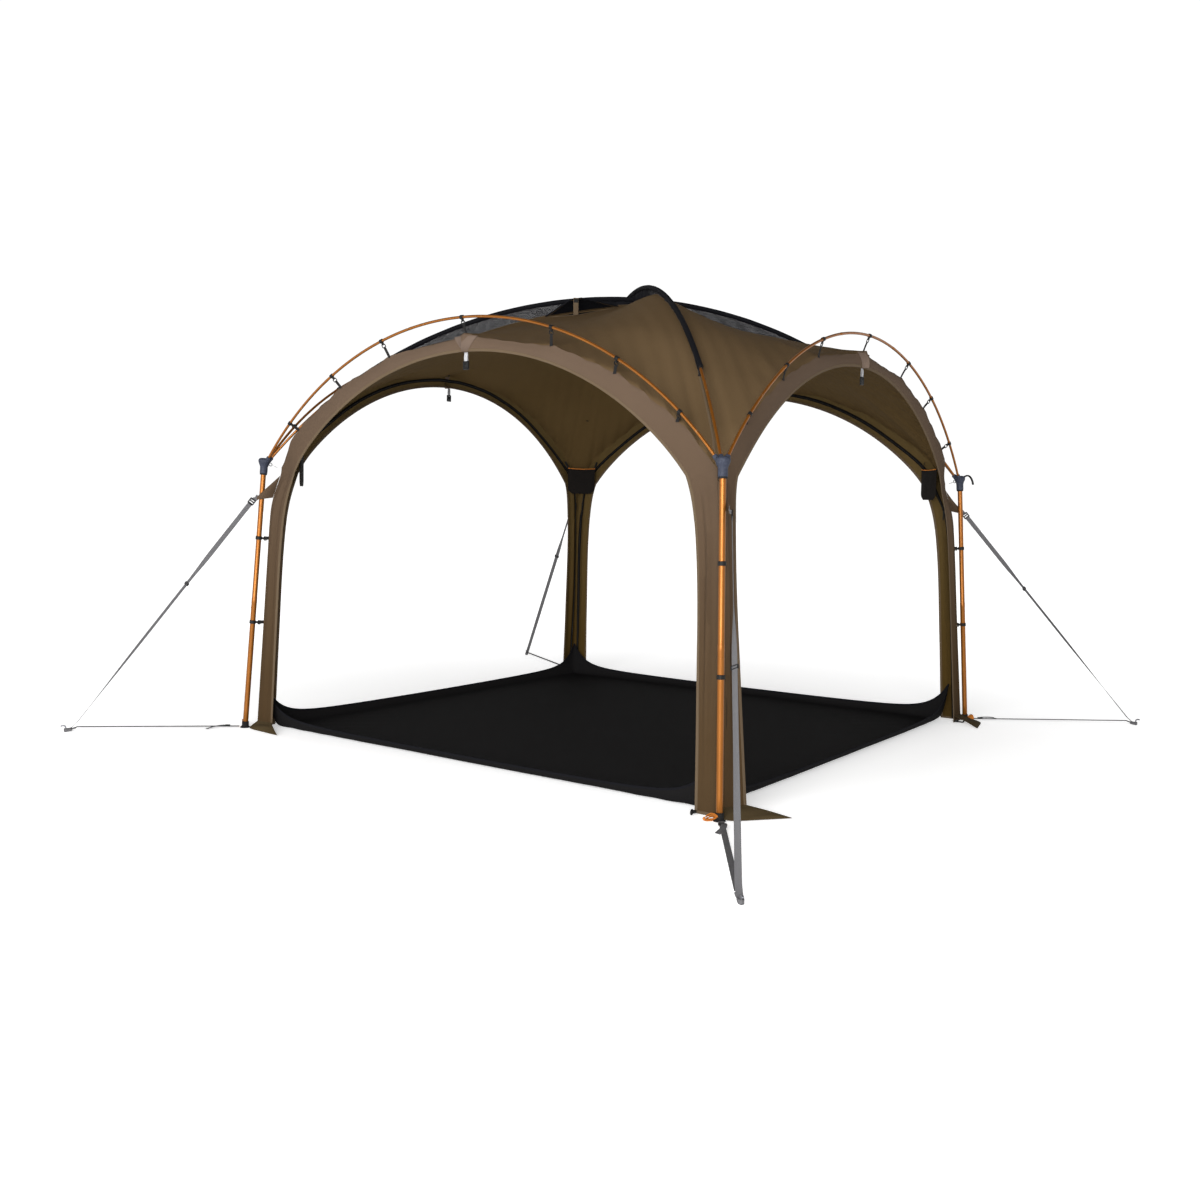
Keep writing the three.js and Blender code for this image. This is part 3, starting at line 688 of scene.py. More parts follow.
def strap_tail(name, corner):
    outward, _, _ = guy_points(corner)
    _, level, _ = guy_slope(corner)
    start = Vector((foot_offset * diagonal + 0.031, 0, 0.008)) + outward * 0.055
    side = level * (1 if corner["bearing"] in (-135, 45) else -1)
    route = [start + Z * 0.004, start + outward * 0.03 + side * 0.006 + Z * 0.007]
    route += [start + outward * 0.075 + side * 0.022 + Z * 0.004, start + outward * 0.115 + side * 0.05 - Z * 0.004]
    path = curve_through([tuple(p) for p in route], 18)
    return Shell().strap(path, level).piece(
        f"strap_tail_{name}", grey_webbing, "webbing_grey", matrix=turned(corner["bearing"])
    )


def add_cords():
    for name, corner in corners.items():
        strap, path = guy_strap(name, corner)
        fittings = [ladder_lock(name, corner), guy_slider(name, corner), ground_peg(name, corner), peg_loop(name, corner)]
        lower, path = ground_strap(name, corner)
        foot_buckle(name, corner)
        strap_tail(name, corner)


add_cords()


# ---- arches ----
class Arch:
    """A circular arch in the XZ plane, by its half span, the height of its ends and of its top."""

    def __init__(self, half_span, end_height, top_height):
        rise = top_height - end_height
        self.half_span = half_span
        self.radius = (half_span**2 + rise**2) / (2 * rise)
        self.centre = top_height - self.radius

    def height(self, x):
        return self.centre + np.sqrt(self.radius**2 - np.asarray(x, float) ** 2)

    def path(self, reach, count):
        angles = np.linspace(-1, 1, count) * math.asin(reach / self.radius)
        points = np.zeros((count, 3))
        points[:, 0] = self.radius * np.sin(angles)
        points[:, 2] = self.centre + self.radius * np.cos(angles)
        return points


side_arch = Arch(hub_offset - socket_offset, socket_height, side_arch_top)
lower_ridge = Arch(hub_offset * diagonal - socket_offset, socket_height, lower_ridge_top)
upper_ridge = Arch(hub_offset * diagonal - socket_offset, socket_height, upper_ridge_top)
ridges = {"lower": (lower_ridge, 45), "upper": (upper_ridge, -45)}
crease = Arch(crease_offset, corner_height, crease_top)
opening = Arch(opening_at_seam, seam_height, opening_top)


# ---- poles ----
def pole_with_joints(path, radius, joints):
    """A tube in lengths: each joint is a short ferrule band with a fine gap beside it."""
    along = distances_along(path)
    total = along[-1]
    stations = [(0.0, radius)]
    for joint in joints:
        place = joint * total
        for offset, growth in ((-0.021, 0), (-0.0205, 0.0004), (-0.0012, 0.0004), (-0.0008, -0.0005)):
            stations.append((place + offset, radius + growth))
        stations += [(place + 0.0008, radius - 0.0005), (place + 0.0012, radius)]
    stations.append((total, radius))
    plain = np.linspace(0, total, 120)
    known = np.array([s[0] for s in stations])
    plain = plain[np.min(np.abs(plain[:, None] - known[None]), axis=1) > 0.003]
    places = np.sort(np.concatenate((known, plain)))
    radii = np.interp(places, known, [s[1] for s in stations])
    points = np.stack([np.interp(places, along, np.asarray(path)[:, axis]) for axis in range(3)], axis=1)
    return Shell().tube(points, radii, 16)


def add_poles():
    for name, bearing in sides.items():
        path = side_arch.path(side_arch.half_span, 400)
        path[:, 1] = -hub_offset
        pole = pole_with_joints(path, tube_radius, (0.2, 0.4, 0.6, 0.8))
        piece = pole.piece(f"side_arch_pole_{name}", anodised, "pole_orange", matrix=turned(bearing), sharp=50)
        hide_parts(f"side_arch_{name}")
    for name, (arch, bearing) in ridges.items():
        pole = pole_with_joints(arch.path(arch.half_span, 400), tube_radius, (0.14, 0.29, 0.43, 0.57, 0.71, 0.86))
        piece = pole.piece(f"ridge_arch_pole_{name}", anodised, "pole_orange", matrix=turned(bearing), sharp=50)
        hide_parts(f"ridge_pole_{name}")


leg_foot = Vector((foot_offset * diagonal, 0, 0))
leg_top = Vector((hub_offset * diagonal, 0, hub_height))
leg_way = (leg_top - leg_foot).normalized()
leg_length = (leg_top - leg_foot).length


def on_leg(distance):
    """The corner's frame turned so that Z runs up the leg pole, at this distance from its foot."""
    return axes(Y.cross(leg_way), Y, leg_foot + leg_way * distance)


def leg_pole(name, turn):
    """Two swaged lengths: the upper slides into the lower, with a snap button just above the joint."""
    joint = 0.72
    profile = [(0.0127, 0.014), (0.0142, 0.0144), (leg_radius, 0.015), (leg_radius, 0.1), (leg_radius, joint - 0.03)]
    profile += [(leg_radius + 0.0004, joint - 0.028), (leg_radius + 0.0004, joint - 0.002), (0.0142, joint)]
    profile += [(0.0139, joint + 0.001), (0.0139, joint + 0.3), (0.0139, leg_length - 0.048), (0.0136, leg_length - 0.014)]
    pole = Shell().lathe(profile, on_leg(0), 40)
    button = on_leg(joint - 0.055) @ Matrix.Translation((leg_radius - 0.001, 0, 0)) @ Matrix.Rotation(math.radians(90), 4, "Y")
    pole.lathe([(0.0038, 0), (0.0038, 0.0016), (0.0030, 0.0026), (0.0012, 0.0031)], button, 16)
    piece = pole.piece(f"leg_tube_{name}", anodised, "pole_orange", matrix=turn, sharp=50)
    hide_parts(f"leg_pole_{name}")


def pole_foot(name, turn):
    """A rubber foot: a cup with grip rings round the tube, and a tread flat on the ground."""
    cup = [(0.0175, 0.004)]
    for ring in range(4):
        start = 0.009 + 0.0058 * ring
        cup += [(0.0188, start), (0.0188, start + 0.0034), (0.0176, start + 0.0042), (0.0176, start + 0.0052)]
    cup += [(0.0184, 0.0335), (0.0172, 0.0352), (0.0152, 0.0352), (0.0149, 0.0335)]
    foot = Shell().lathe(cup, on_leg(0), 40)
    tread = [(0.0235, 0.0), (0.0262, 0.0008), (0.0268, 0.003), (0.0252, 0.0056), (0.0215, 0.0088), (0.018, 0.0094)]
    foot.lathe(tread, Matrix.Translation(leg_foot), 40)
    piece = foot.piece(f"rubber_foot_{name}", black_rubber, "foot_rubber", matrix=turn)
    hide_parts(f"pole_foot_{name}")


def foot_pull(name, turn):
    """An orange webbing pull, folded into a fat loop beside the foot."""
    pull = Shell()
    for size, lift in ((1.0, 0.003), (0.72, 0.002)):
        route = [(0.004, -0.014, 0.014), (0.010, -0.028, 0.026), (0.014, -0.044, 0.030), (0.014, -0.060, 0.022)]
        route += [(0.012, -0.064, 0.012), (0.008, -0.052, 0.006), (0.004, -0.030, 0.006), (0.004, -0.014, 0.010)]
        centre = Vector((0.004, -0.014, 0.010))
        path = [leg_foot + centre + (Vector(p) - centre) * size + Z * lift for p in curve_through(route, 40)]
        pull.strap(path, (0.75, 0.1, 0.66), 0.024, 0.0024)
    return pull.piece(f"foot_pull_{name}", orange_trim, "pole_orange", matrix=turn)


# ---- hubs ----
def socket_ways(arch_pair):
    """Where each pole enters a hub, and the direction it leaves in."""
    ways = []
    for bearing, arch in arch_pair:
        level = Vector((math.cos(math.radians(bearing)), math.sin(math.radians(bearing)), 0))
        tilt = math.asin(arch.half_span / arch.radius)
        end = Vector((leg_top.x, 0, socket_height)) + level * socket_offset
        ways.append((end, level * math.cos(tilt) + Z * math.sin(tilt)))
    return ways


def hub_mesh(ridge):
    """A moulded knuckle: a collar for the leg that swells into a crown with three sockets, all in one skin."""
    body = Shell()
    knuckle = [(0.0192, -0.045), (0.0205, -0.0435), (0.0205, -0.012), (0.0225, -0.004), (0.0295, 0.012)]
    knuckle += [(0.0315, 0.02), (0.0315, 0.027), (0.028, 0.0335), (0.021, 0.0375), (0.010, 0.039)]
    body.lathe(knuckle, on_leg(leg_length), 40)
    for end, way in socket_ways([(135, side_arch), (180, ridge), (225, side_arch)]):
        place = axes(way.cross(Y) if abs(way.y) < 0.9 else way.cross(X), Y, end)
        place = Matrix.Translation(end) @ way.to_track_quat("Z", "Y").to_matrix().to_4x4()
        body.lathe([(0.0112, -0.01), (0.0112, 0.022), (0.0118, 0.0245), (0.0118, 0.031), (0.0106, 0.034)], place, 28)
        for spin in (90, 210, 330):
            rib = place @ Matrix.Rotation(math.radians(spin), 4, "Z") @ Matrix.Translation((0.0115, 0, 0.008))
            body.block((0.004, 0.0028, 0.026), rib, 0.0008)
    mesh = body.mesh("hub_blank")
    blank = bpy.data.objects.new("hub_blank", mesh)
    bpy.context.scene.collection.objects.link(blank)
    skin = blank.modifiers.new("skin", "REMESH")
    skin.mode = "VOXEL"
    skin.voxel_size = 0.0013
    rounding = blank.modifiers.new("rounding", "SMOOTH")
    rounding.iterations = 3
    shape = blank.evaluated_get(bpy.context.evaluated_depsgraph_get())
    made = bpy.data.meshes.new_from_object(shape)
    bpy.data.objects.remove(blank)
    made.polygons.foreach_set("use_smooth", [True] * len(made.polygons))
    return made


def add_hubs():
    meshes = {name: hub_mesh(arch) for name, (arch, _) in ridges.items()}
    for name, corner in corners.items():
        turn = turned(corner["bearing"])
        mesh = meshes[corner["ridge"]].copy()
        mesh.name = f"hub_casting_{name}"
        hub = add_piece(f"hub_casting_{name}", mesh, slate_plastic, matrix=turn)
        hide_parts(f"hub_{name}")
        collar = Shell().lathe([(0.0150, -0.0525), (0.0185, -0.0525), (0.0193, -0.0505), (0.0193, -0.0455), (0.0185, -0.044)],
                               on_leg(leg_length), 32)
        collar.piece(f"hub_seal_{name}", black_rubber, "foot_rubber", matrix=turn)


def corner_hook(name, turn):
    """A ring moulded on the hub's inner side with a pale shock cord that holds the canopy's corner."""
    start = leg_top + Vector((-0.030, 0, 0.004))
    ring = [start + Vector((0.008 * math.cos(a) - 0.004, 0, 0.008 * math.sin(a))) for a in np.linspace(0, math.tau, 25)]
    hook = Shell().tube(ring[:-1] + ring[:1], 0.0018, 8)
    hook.piece(f"corner_ring_{name}", black_plastic, "hardware_black", matrix=turn)
    loop = [(-0.036, 0.000, 0.003), (-0.040, 0.0035, 0.000), (-0.052, 0.0042, -0.004), (-0.064, 0.0030, -0.009)]
    loop += [(-0.069, 0, -0.011)]
    loop += [(x, -y, z) for x, y, z in reversed(loop[:-1])]
    path = [leg_top + Vector(p) for p in curve_through(loop, 36)]
    Shell().tube(path, 0.0014, 8).piece(f"corner_elastic_{name}", pale_cord, "webbing_grey", matrix=turn)


def hub_pull(name, turn):
    """A black moulded pull tab that curls out and down from the hub."""
    route = [(0.020, 0, 0.030), (0.045, 0, 0.041), (0.064, 0, 0.034), (0.078, 0, 0.014), (0.086, 0, -0.012)]
    path = [leg_top + Vector(p) for p in curve_through(route, 24)]
    Shell().strap(path, Y, 0.018, 0.0090).piece(f"hub_pull_{name}", black_plastic, "hardware_black", matrix=turn)


# ---- canopy ----
clip_line = np.array([-crease_offset, *[-x for x in clip_places[:0:-1]], *clip_places, crease_offset])


def scallop(x):
    """How far the cloth's crease hangs below its arch between two clips."""
    span = np.clip(np.searchsorted(clip_line, x, side="right") - 1, 0, len(clip_line) - 2)
    low, high = clip_line[span], clip_line[span + 1]
    share = np.clip((x - low) / (high - low), 0, 1)
    return 0.075 * (high - low) ** 2 * 4 * share * (1 - share)


def ridge_cloth_height(share):
    corner_drop = lower_ridge.height(crease_offset * diagonal) - corner_height
    drop = apex_drop + (corner_drop - apex_drop) * share + 4 * ridge_sag * share * (1 - share)
    return lower_ridge.height(share * crease_offset * diagonal) - drop


def crest_height(share):
    apex = lower_ridge_top - apex_drop
    return apex + (crease_top - apex) * share - 4 * crest_sag * share * (1 - share)


def roof_surface(share, across):
    """The smooth roof of one side: share runs from the apex to the crease, across from -1 to 1."""
    arch_share = (crease.height(across * crease_offset) - corner_height) / (crease_top - corner_height)
    ridge = ridge_cloth_height(share)
    return ridge + (crest_height(share) - ridge) * arch_share


def upper_ridge_lift(share):
    """The cloth is drawn up under the upper ridge pole's sleeve, except at the apex and the hubs."""
    sleeve_bottom = upper_ridge.height(share * crease_offset * diagonal) - sleeve_radius
    drawn_up = smooth_step((share - 0.09) / 0.26) * (1 - smooth_step((share - 0.7) / 0.3))
    return drawn_up * (sleeve_bottom - upper_gap - ridge_cloth_height(share))


def drawn_in(points, bearings=(-135, -45, 45, 135)):
    """Points near a canopy corner, pulled in from it: the corner hangs well inside its hub."""
    points = np.array(points, float)
    for bearing in np.radians(bearings):
        way = np.array((math.cos(bearing), math.sin(bearing), 0))
        corner = way * crease_offset * diagonal + (0, 0, corner_height)
        reach = np.linalg.norm(points - corner, axis=-1)
        points -= way * (corner_draw * np.exp(-((reach / 0.14) ** 2)))[..., None]
    return points


def undulation(x, y, seed, scale=1.6):
    """Slow uneven waves, from -1 to 1, the same on every run."""
    flat = np.stack(np.broadcast_arrays(x * scale, y * scale, float(seed)), -1).reshape(-1, 3)
    values = [noise.noise(Vector(point)) for point in flat]
    return np.array(values).reshape(np.broadcast(x, y).shape)


def roof_relief(x, y, share, across, seed):
    """What tension adds to the smooth roof: folds from the clips, pleats into the hubs, slow waves."""
    relief = 0.006 * undulation(x, y, seed)
    for clip in clip_line[1:-1]:
        away, down = x - clip, y + crease_offset
        reach = np.hypot(away, down)
        folds = np.cos(5 * np.arctan2(down, away) + 0.6 * seed)
        relief += 0.0045 * folds * np.exp(-reach / 0.16) * reach / (reach + 0.03)
    from_ridge = (np.abs(y) - np.abs(x)) / diagonal
    from_hub = crease_offset * diagonal - (np.abs(x) + np.abs(y)) / diagonal
    pleats = np.sin(math.tau * from_ridge / 0.085 + seed) * np.exp(-from_hub / 0.42)
    relief += 0.011 * pleats * np.clip(from_ridge / 0.07, 0, 1)
    relief *= 1 - np.abs(across) ** 12
    return relief - scallop(across * crease_offset) * smooth_step((share - 0.72) / 0.28)


def centre_fold(x, down):
    """The pleat that the middle tab pulls out of a band: down is 0 at the crease and 1 at the opening."""
    half = 0.070 * (1 - down) + 0.012
    return np.clip(1 - np.abs(x) / half, 0, 1) ** 1.4 * (0.019 + 0.013 * down)


def band_edge(across):
    """The lower edge of a band: along the opening, then out along the seam to the corner."""
    reach = np.abs(across)
    on_arch = opening_at_seam * np.minimum(reach / band_fan, 1)
    x = np.where(reach <= band_fan, on_arch, opening_at_seam + (crease_offset - opening_at_seam) * (reach - band_fan) / (1 - band_fan))
    z = np.where(reach <= band_fan, opening.height(on_arch), seam_height)
    return np.sign(across) * x, z


roof_row_count = 48
fan_columns = 11
columns_half = np.concatenate((np.linspace(0, 0.08, 9), np.linspace(0.115, band_fan * crease_offset, 34))) / crease_offset
columns_half = np.concatenate((columns_half, np.linspace(band_fan, 1, fan_columns)[1:]))
columns_across = np.concatenate((-columns_half[:0:-1], columns_half))


def side_grid(seed, upper_end):
    """One side of the canopy, from the apex down to the crease and on to the opening, facing -Y.
    upper_end is 1 or -1: the end of the side that the upper ridge pole crosses to."""
    roof_rows = np.linspace(0, 1, roof_row_count)
    band_rows = np.linspace(0, 1, 10)[1:]
    rows = []
    across = columns_across
    for share in roof_rows:
        x, y = across * share * crease_offset, np.full(len(across), -share * crease_offset)
        z = roof_surface(share, across) + roof_relief(x, y, share, across, seed)
        z += upper_ridge_lift(share) * smooth_step((across * upper_end - 0.2) / 0.8)
        fold = centre_fold(across * crease_offset, 0) * np.exp(-(1 - share) * crease_offset / 0.06)
        inward = 0.35 * scallop(across * crease_offset) * smooth_step((share - 0.72) / 0.28)
        rows.append(np.stack((x, y - fold + inward, z + 0.5 * fold), 1))
    top = rows[-1]
    edge_x, edge_z = band_edge(across)
    for down in band_rows:
        x = top[:, 0] + (edge_x - top[:, 0]) * down
        z = top[:, 2] + (edge_z - top[:, 2]) * down
        belly = 0.007 * np.sin(math.pi * down) * (1 - np.abs(across) ** 6)
        ripple = 0.0035 * undulation(x * 2.2, z * 1.1, seed + 7) * (1 - np.abs(across) ** 12) * (1 - down**4)
        fold = centre_fold(x, down) - centre_fold(x, 0) * (1 - down)
        y = top[:, 1] + (-crease_offset - top[:, 1]) * down - belly - ripple - fold
        rows.append(np.stack((x, y, z), 1))
    return np.array(rows)


def leg_edge(height):
    """How far from the middle plane a leg panel's inner edge is, at a height (monotone cubic)."""
    knots, values = np.array(leg_edge_heights), np.array(leg_edge_offsets)
    slopes = np.diff(values) / np.diff(knots)
    tangents = np.concatenate(([slopes[0]], (slopes[:-1] + slopes[1:]) / 2, [1.35 * slopes[-1]]))
    height = np.asarray(height, float)
    span = np.clip(np.searchsorted(knots, height, side="right") - 1, 0, len(knots) - 2)
    wide = knots[span + 1] - knots[span]
    t = (height - knots[span]) / wide
    rising, falling = t * t * (3 - 2 * t), t * (1 - t) ** 2
    value = values[span] * (1 - rising) + values[span + 1] * rising
    return value + wide * (tangents[span] * falling - tangents[span + 1] * t * t * (1 - t))


def leg_corner(height, corner):
    """How far from the middle planes the corner of a leg is at a height."""
    drawn = 1 - np.asarray(height, float) / seam_height
    return crease_offset + (leg_corner_at_ground + corner["leg_foot"][0] - crease_offset) * drawn


def wall_edge(height, corner, side):
    """How far from the middle plane the inner edge of one of a leg's walls is: side is -1 or 1."""
    wider = corner["leg_foot"][1 if side < 0 else 2]
    return leg_edge(height) - wider * (1 - np.asarray(height, float) / seam_height)


def wall_out(height, corner, side):
    """How far out from the middle plane that inner edge is."""
    pulled = corner["leg_foot"][3 if side < 0 else 4]
    return leg_corner(height, corner) + pulled * (1 - np.asarray(height, float) / seam_height)


def corner_at(bearing):
    return next(corner for corner in corners.values() if (corner["bearing"] - bearing) % 360 == 0)


def wall_relief(shares, height, seed):
    """How far a leg's wall stands out: a slight belly, slow waves, and long upright folds."""
    waves = undulation(shares * 1.4, np.full(len(shares), height * 0.55), seed)
    drift = 0.35 * noise.noise(Vector((height * 0.9, seed, 0.5)))
    folds = np.sin(math.tau * (1.9 * shares + drift) + 1.7 * seed)
    return (0.006 + 0.013 * waves + 0.0110 * folds) * np.sin(math.pi * shares)


def leg_grid(seed, corner):
    """The two walls of a leg, as the front-right one: from one inner edge round the corner, top row first."""
    rows = []
    shares = np.linspace(0, 1, fan_columns)
    for height in seam_height * np.linspace(1, 0, 60):
        outer = float(leg_corner(height, corner))
        loose = math.sin(math.pi * min(1, (seam_height - height) / seam_height) ** 0.6)
        walls = []
        for side in (-1, 1):
            edge = float(wall_edge(height, corner, side))
            edge_out = float(wall_out(height, corner, side))
            bulge = loose * wall_relief(shares, height, seed + 1.5 * (side + 1))
            walls.append(list(zip(edge + (outer - edge) * shares, edge_out + (outer - edge_out) * shares + bulge)))
        wall = [(x, -out, height) for x, out in walls[0]]
        other = [(out, -y, height) for y, out in walls[1]]
        rows.append(wall + other[-2::-1])
    return np.array(rows)


def plan_in_vent(along, out):
    """The plan position of a point of the vent, along the front-left ridge and out from it."""
    return Vector(((-along + out) / diagonal, (-along - out) / diagonal, 0))


vent_hinge = 0.04
vent_near, vent_far = 0.09, 0.5
vent_tip = (0.346, 0.15)
prop_height = 0.092
vent_outline = [(vent_near + 0.02, vent_hinge), (vent_tip[0], vent_tip[1] - 0.012), (vent_far - 0.02, vent_hinge)]


def grid_faces(rows, columns, start):
    at = lambda row, column: start + row * columns + column
    return [
        (at(r, c), at(r + 1, c), at(r + 1, c + 1), at(r, c + 1)) for r in range(rows - 1) for c in range(columns - 1)
    ]


def cut_vent(sheet):
    """Cuts the vent's three-sided opening out of the front of the roof."""
    outline = [plan_in_vent(along, out) for along, out in vent_outline]
    middle = sum(outline, Vector()) / 3
    near = lambda face: face.calc_center_median().y < -abs(face.calc_center_median().x) and (
        (face.calc_center_median().xy - middle.xy).length < 0.45
    )
    for start, end in zip(outline, outline[1:] + outline[:1]):
        faces = [face for face in sheet.faces if near(face)]
        parts = set(faces)
        for face in faces:
            parts.update(face.edges)
            parts.update(face.verts)
        bmesh.ops.bisect_plane(sheet, geom=list(parts), plane_co=start, plane_no=(end - start).cross(Z), dist=1e-5)
    turns = []
    for face in sheet.faces:
        centre = face.calc_center_median()
        signs = [(b - a).cross(centre - a).z > 0 for a, b in zip(outline, outline[1:] + outline[:1])]
        if near(face) and len(set(signs)) == 1:
            turns.append(face)
    bmesh.ops.delete(sheet, geom=turns, context="FACES")


def canopy_sheet():
    """Every side and leg as one sheet, joined along the ridges and the leg seams."""
    sheet = bmesh.new()
    weave = sheet.verts.layers.float_vector.new("weave")
    patches = []
    for seed, bearing in enumerate(sides.values()):
        patches.append((side_grid(seed, 1 if bearing % 180 == 0 else -1), turned(bearing), roof_row_count - 1))
    for seed, corner in enumerate(corners.values()):
        patches.append((leg_grid(seed + 11, corner), turned(corner["bearing"] + 45), 0))
    for grid, turn, roof_rows in patches:
        grid = drawn_in(grid)
        rows, columns = grid.shape[:2]
        down = distances_along(grid[:, columns // 2])
        verts = []
        for row in range(rows):
            beside = distances_along(grid[row])
            beside = beside - beside[columns // 2]
            for column in range(columns):
                vert = sheet.verts.new(turn @ Vector(grid[row, column]))
                vert[weave] = (down[row], beside[column], 0)
                verts.append(vert)
        for index, face in enumerate(grid_faces(rows, columns, 0)):
            made = sheet.faces.new([verts[i] for i in face])
            # roof rows take the roof colour; band and leg rows take the wall colour, with its painted reflection and
            # painted shade towards the ground
            made.material_index = 0 if index // (columns - 1) < roof_rows else 2
    bmesh.ops.remove_doubles(sheet, verts=sheet.verts[:], dist=0.0004)
    bmesh.ops.dissolve_degenerate(sheet, edges=sheet.edges[:], dist=0.00005)
    bmesh.ops.recalc_face_normals(sheet, faces=sheet.faces[:])
    top = max(sheet.faces, key=lambda face: face.calc_center_median().z)
    if top.normal.z < 0:
        bmesh.ops.reverse_faces(sheet, faces=sheet.faces[:])
    return sheet


canopy_cloth = canopy_sheet()
cloth_tree = BVHTree.FromBMesh(canopy_cloth)


def on_cloth(points, turn, lift=0.0):
    """Points carried to the canopy's outer face and lifted off it, with the directions out of it there."""
    back = turn.inverted()
    found = [cloth_tree.find_nearest(turn @ Vector(point)) for point in points]
    normals = np.array([back.to_3x3() @ hit[1] for hit in found])
    for _ in range(3):
        normals[1:-1] = (normals[:-2] + 2 * normals[1:-1] + normals[2:]) / 4
    normals /= np.linalg.norm(normals, axis=1)[:, None]
    return np.array([back @ hit[0] for hit in found]) + normals * lift, normals


def cloth_height_at(x, y):
    """The height of the roof over a plan position."""
    return cloth_tree.ray_cast(Vector((x, y, 3)), -Z)[0].z


def thickened(sheet, name, thickness, materials):
    """The sheet as a closed mesh: its inner faces have the material after their outer ones'."""
    mesh = bpy.data.meshes.new(name)
    sheet.to_mesh(mesh)
    sheet.free()
    for material in materials:
        mesh.materials.append(material)
    blank = bpy.data.objects.new(name, mesh)
    bpy.context.scene.collection.objects.link(blank)
    solid = blank.modifiers.new("thickness", "SOLIDIFY")
    solid.thickness = thickness
    solid.offset = -1
    solid.material_offset = 1
    made = bpy.data.meshes.new_from_object(blank.evaluated_get(bpy.context.evaluated_depsgraph_get()))
    bpy.data.objects.remove(blank)
    return made


def add_canopy():
    cut_vent(canopy_cloth)
    area = sum(face.calc_area() for face in canopy_cloth.faces)
    mesh = thickened(canopy_cloth, "canopy", cloth, (roof_outside, roof_inside_painted_light, wall_outside_painted_light, wall_inside_painted_light))
    finish_mesh(mesh, 60)
    canopy = add_piece("canopy", mesh, ())
    for side in sides:
        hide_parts(f"roof_panel_{side}")
    for name in corners:
        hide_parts(f"leg_panel_{name}")


def opening_edge(bearing):
    """The edge of an opening, up one leg, over the arch and down the other leg, and the way into the cloth."""
    heights = np.concatenate((np.linspace(0.004, 1.2, 26), np.linspace(1.22, seam_height, 8)[:-1]))
    legs = []
    for beside, side in ((-135, 1), (-45, -1)):
        corner = corner_at(bearing + beside)
        legs.append(np.stack((-side * wall_edge(heights, corner, side), -wall_out(heights, corner, side), heights), 1))
    arch = opening.path(opening_at_seam, 90)
    arch[:, 1] = -crease_offset
    edge = np.concatenate((legs[0], arch, legs[1][::-1]))
    tangents = np.gradient(edge, axis=0)
    tangents /= np.linalg.norm(tangents, axis=1)[:, None]
    into = np.cross(tangents, (0, 1, 0))
    return edge, into / np.linalg.norm(into, axis=1)[:, None]


def edge_strap(shell, bearing, offset, lift, width, thickness):
    """A tape along an opening, offset into the cloth and lifted off its outer face."""
    edge, into = opening_edge(bearing)
    nominal = drawn_in(edge + into * np.reshape(offset, (-1, 1)))
    path, normals = on_cloth(nominal, turned(bearing), lift)
    shell.strap(path, np.cross(normals, directions_along(path)[0]), width, thickness)
    return path, normals


def add_openings():
    """Binding round every opening, and the zip inside it that a wall panel fastens to."""
    for name, bearing in sides.items():
        turn = turned(bearing)
        heights = opening_edge(bearing)[0][:, 2]
        zip_offset = 0.046 + 0.034 * (1 - smooth_step((heights - 1.35) / 0.35))
        binding = Shell()
        edge_strap(binding, bearing, 0.0065, -cloth / 2, 0.015, 0.0044)
        binding.piece(f"opening_binding_{name}", binding_brown, "canopy_brown", matrix=turn)
        tape = Shell()
        path, normals = edge_strap(tape, bearing, zip_offset, -cloth - 0.0042, 0.020, 0.0014)
        tape.tube(path - normals * 0.002, 0.0026, 8, slot=1)
        tape.piece(f"wall_zip_{name}", [zip_tape, black_plastic], "sleeve_black", matrix=turn)
        add_zip_pulls(name, turn, path)


def add_zip_pulls(name, turn, path):
    pulls = Shell()
    for index in (27, len(path) - 28):
        place = Matrix.Translation(Vector(path[index]) + Y * 0.005)
        pulls.block((0.012, 0.006, 0.016), place)
        tab = [Vector(path[index]) + Vector(p) for p in ((0, 0.008, -0.006), (0, 0.011, -0.022), (0, 0.012, -0.046))]
        pulls.strap(tab, X, 0.007, 0.0022)
    pulls.piece(f"zip_pulls_{name}", black_plastic, "hardware_black", matrix=turn)


# ---- sleeves and the mesh strips under them ----
def add_sleeves():
    for name, (arch, bearing) in ridges.items():
        path = arch.path(sleeve_half_span, 260)
        along = distances_along(path)
        wave = np.array([noise.noise(Vector((a * 9, 3.1, bearing))) for a in along])
        radii = sleeve_radius - 0.0008 + 0.0008 * wave
        for row, radius in enumerate((0.0078, 0.0112, 0.0134, 0.0138, 0.0131)):
            radii[row] = radii[-1 - row] = radius
        sleeve = Shell().tube(path, radii, 20)
        for end in (path[:2], path[-2:]):
            way = Vector(end[1] - end[0]).to_track_quat("Z", "Y").to_matrix().to_4x4()
            hem = Matrix.Translation(end[0]) @ way
            sleeve.lathe([(0.0132, 0.0), (0.0142, 0.002), (0.0142, 0.016), (0.0132, 0.018)], hem, 20)
        piece = sleeve.piece(f"pole_sleeve_{name}", sleeve_cloth, "sleeve_black", matrix=turned(bearing))
        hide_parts(f"ridge_sleeve_{name}")


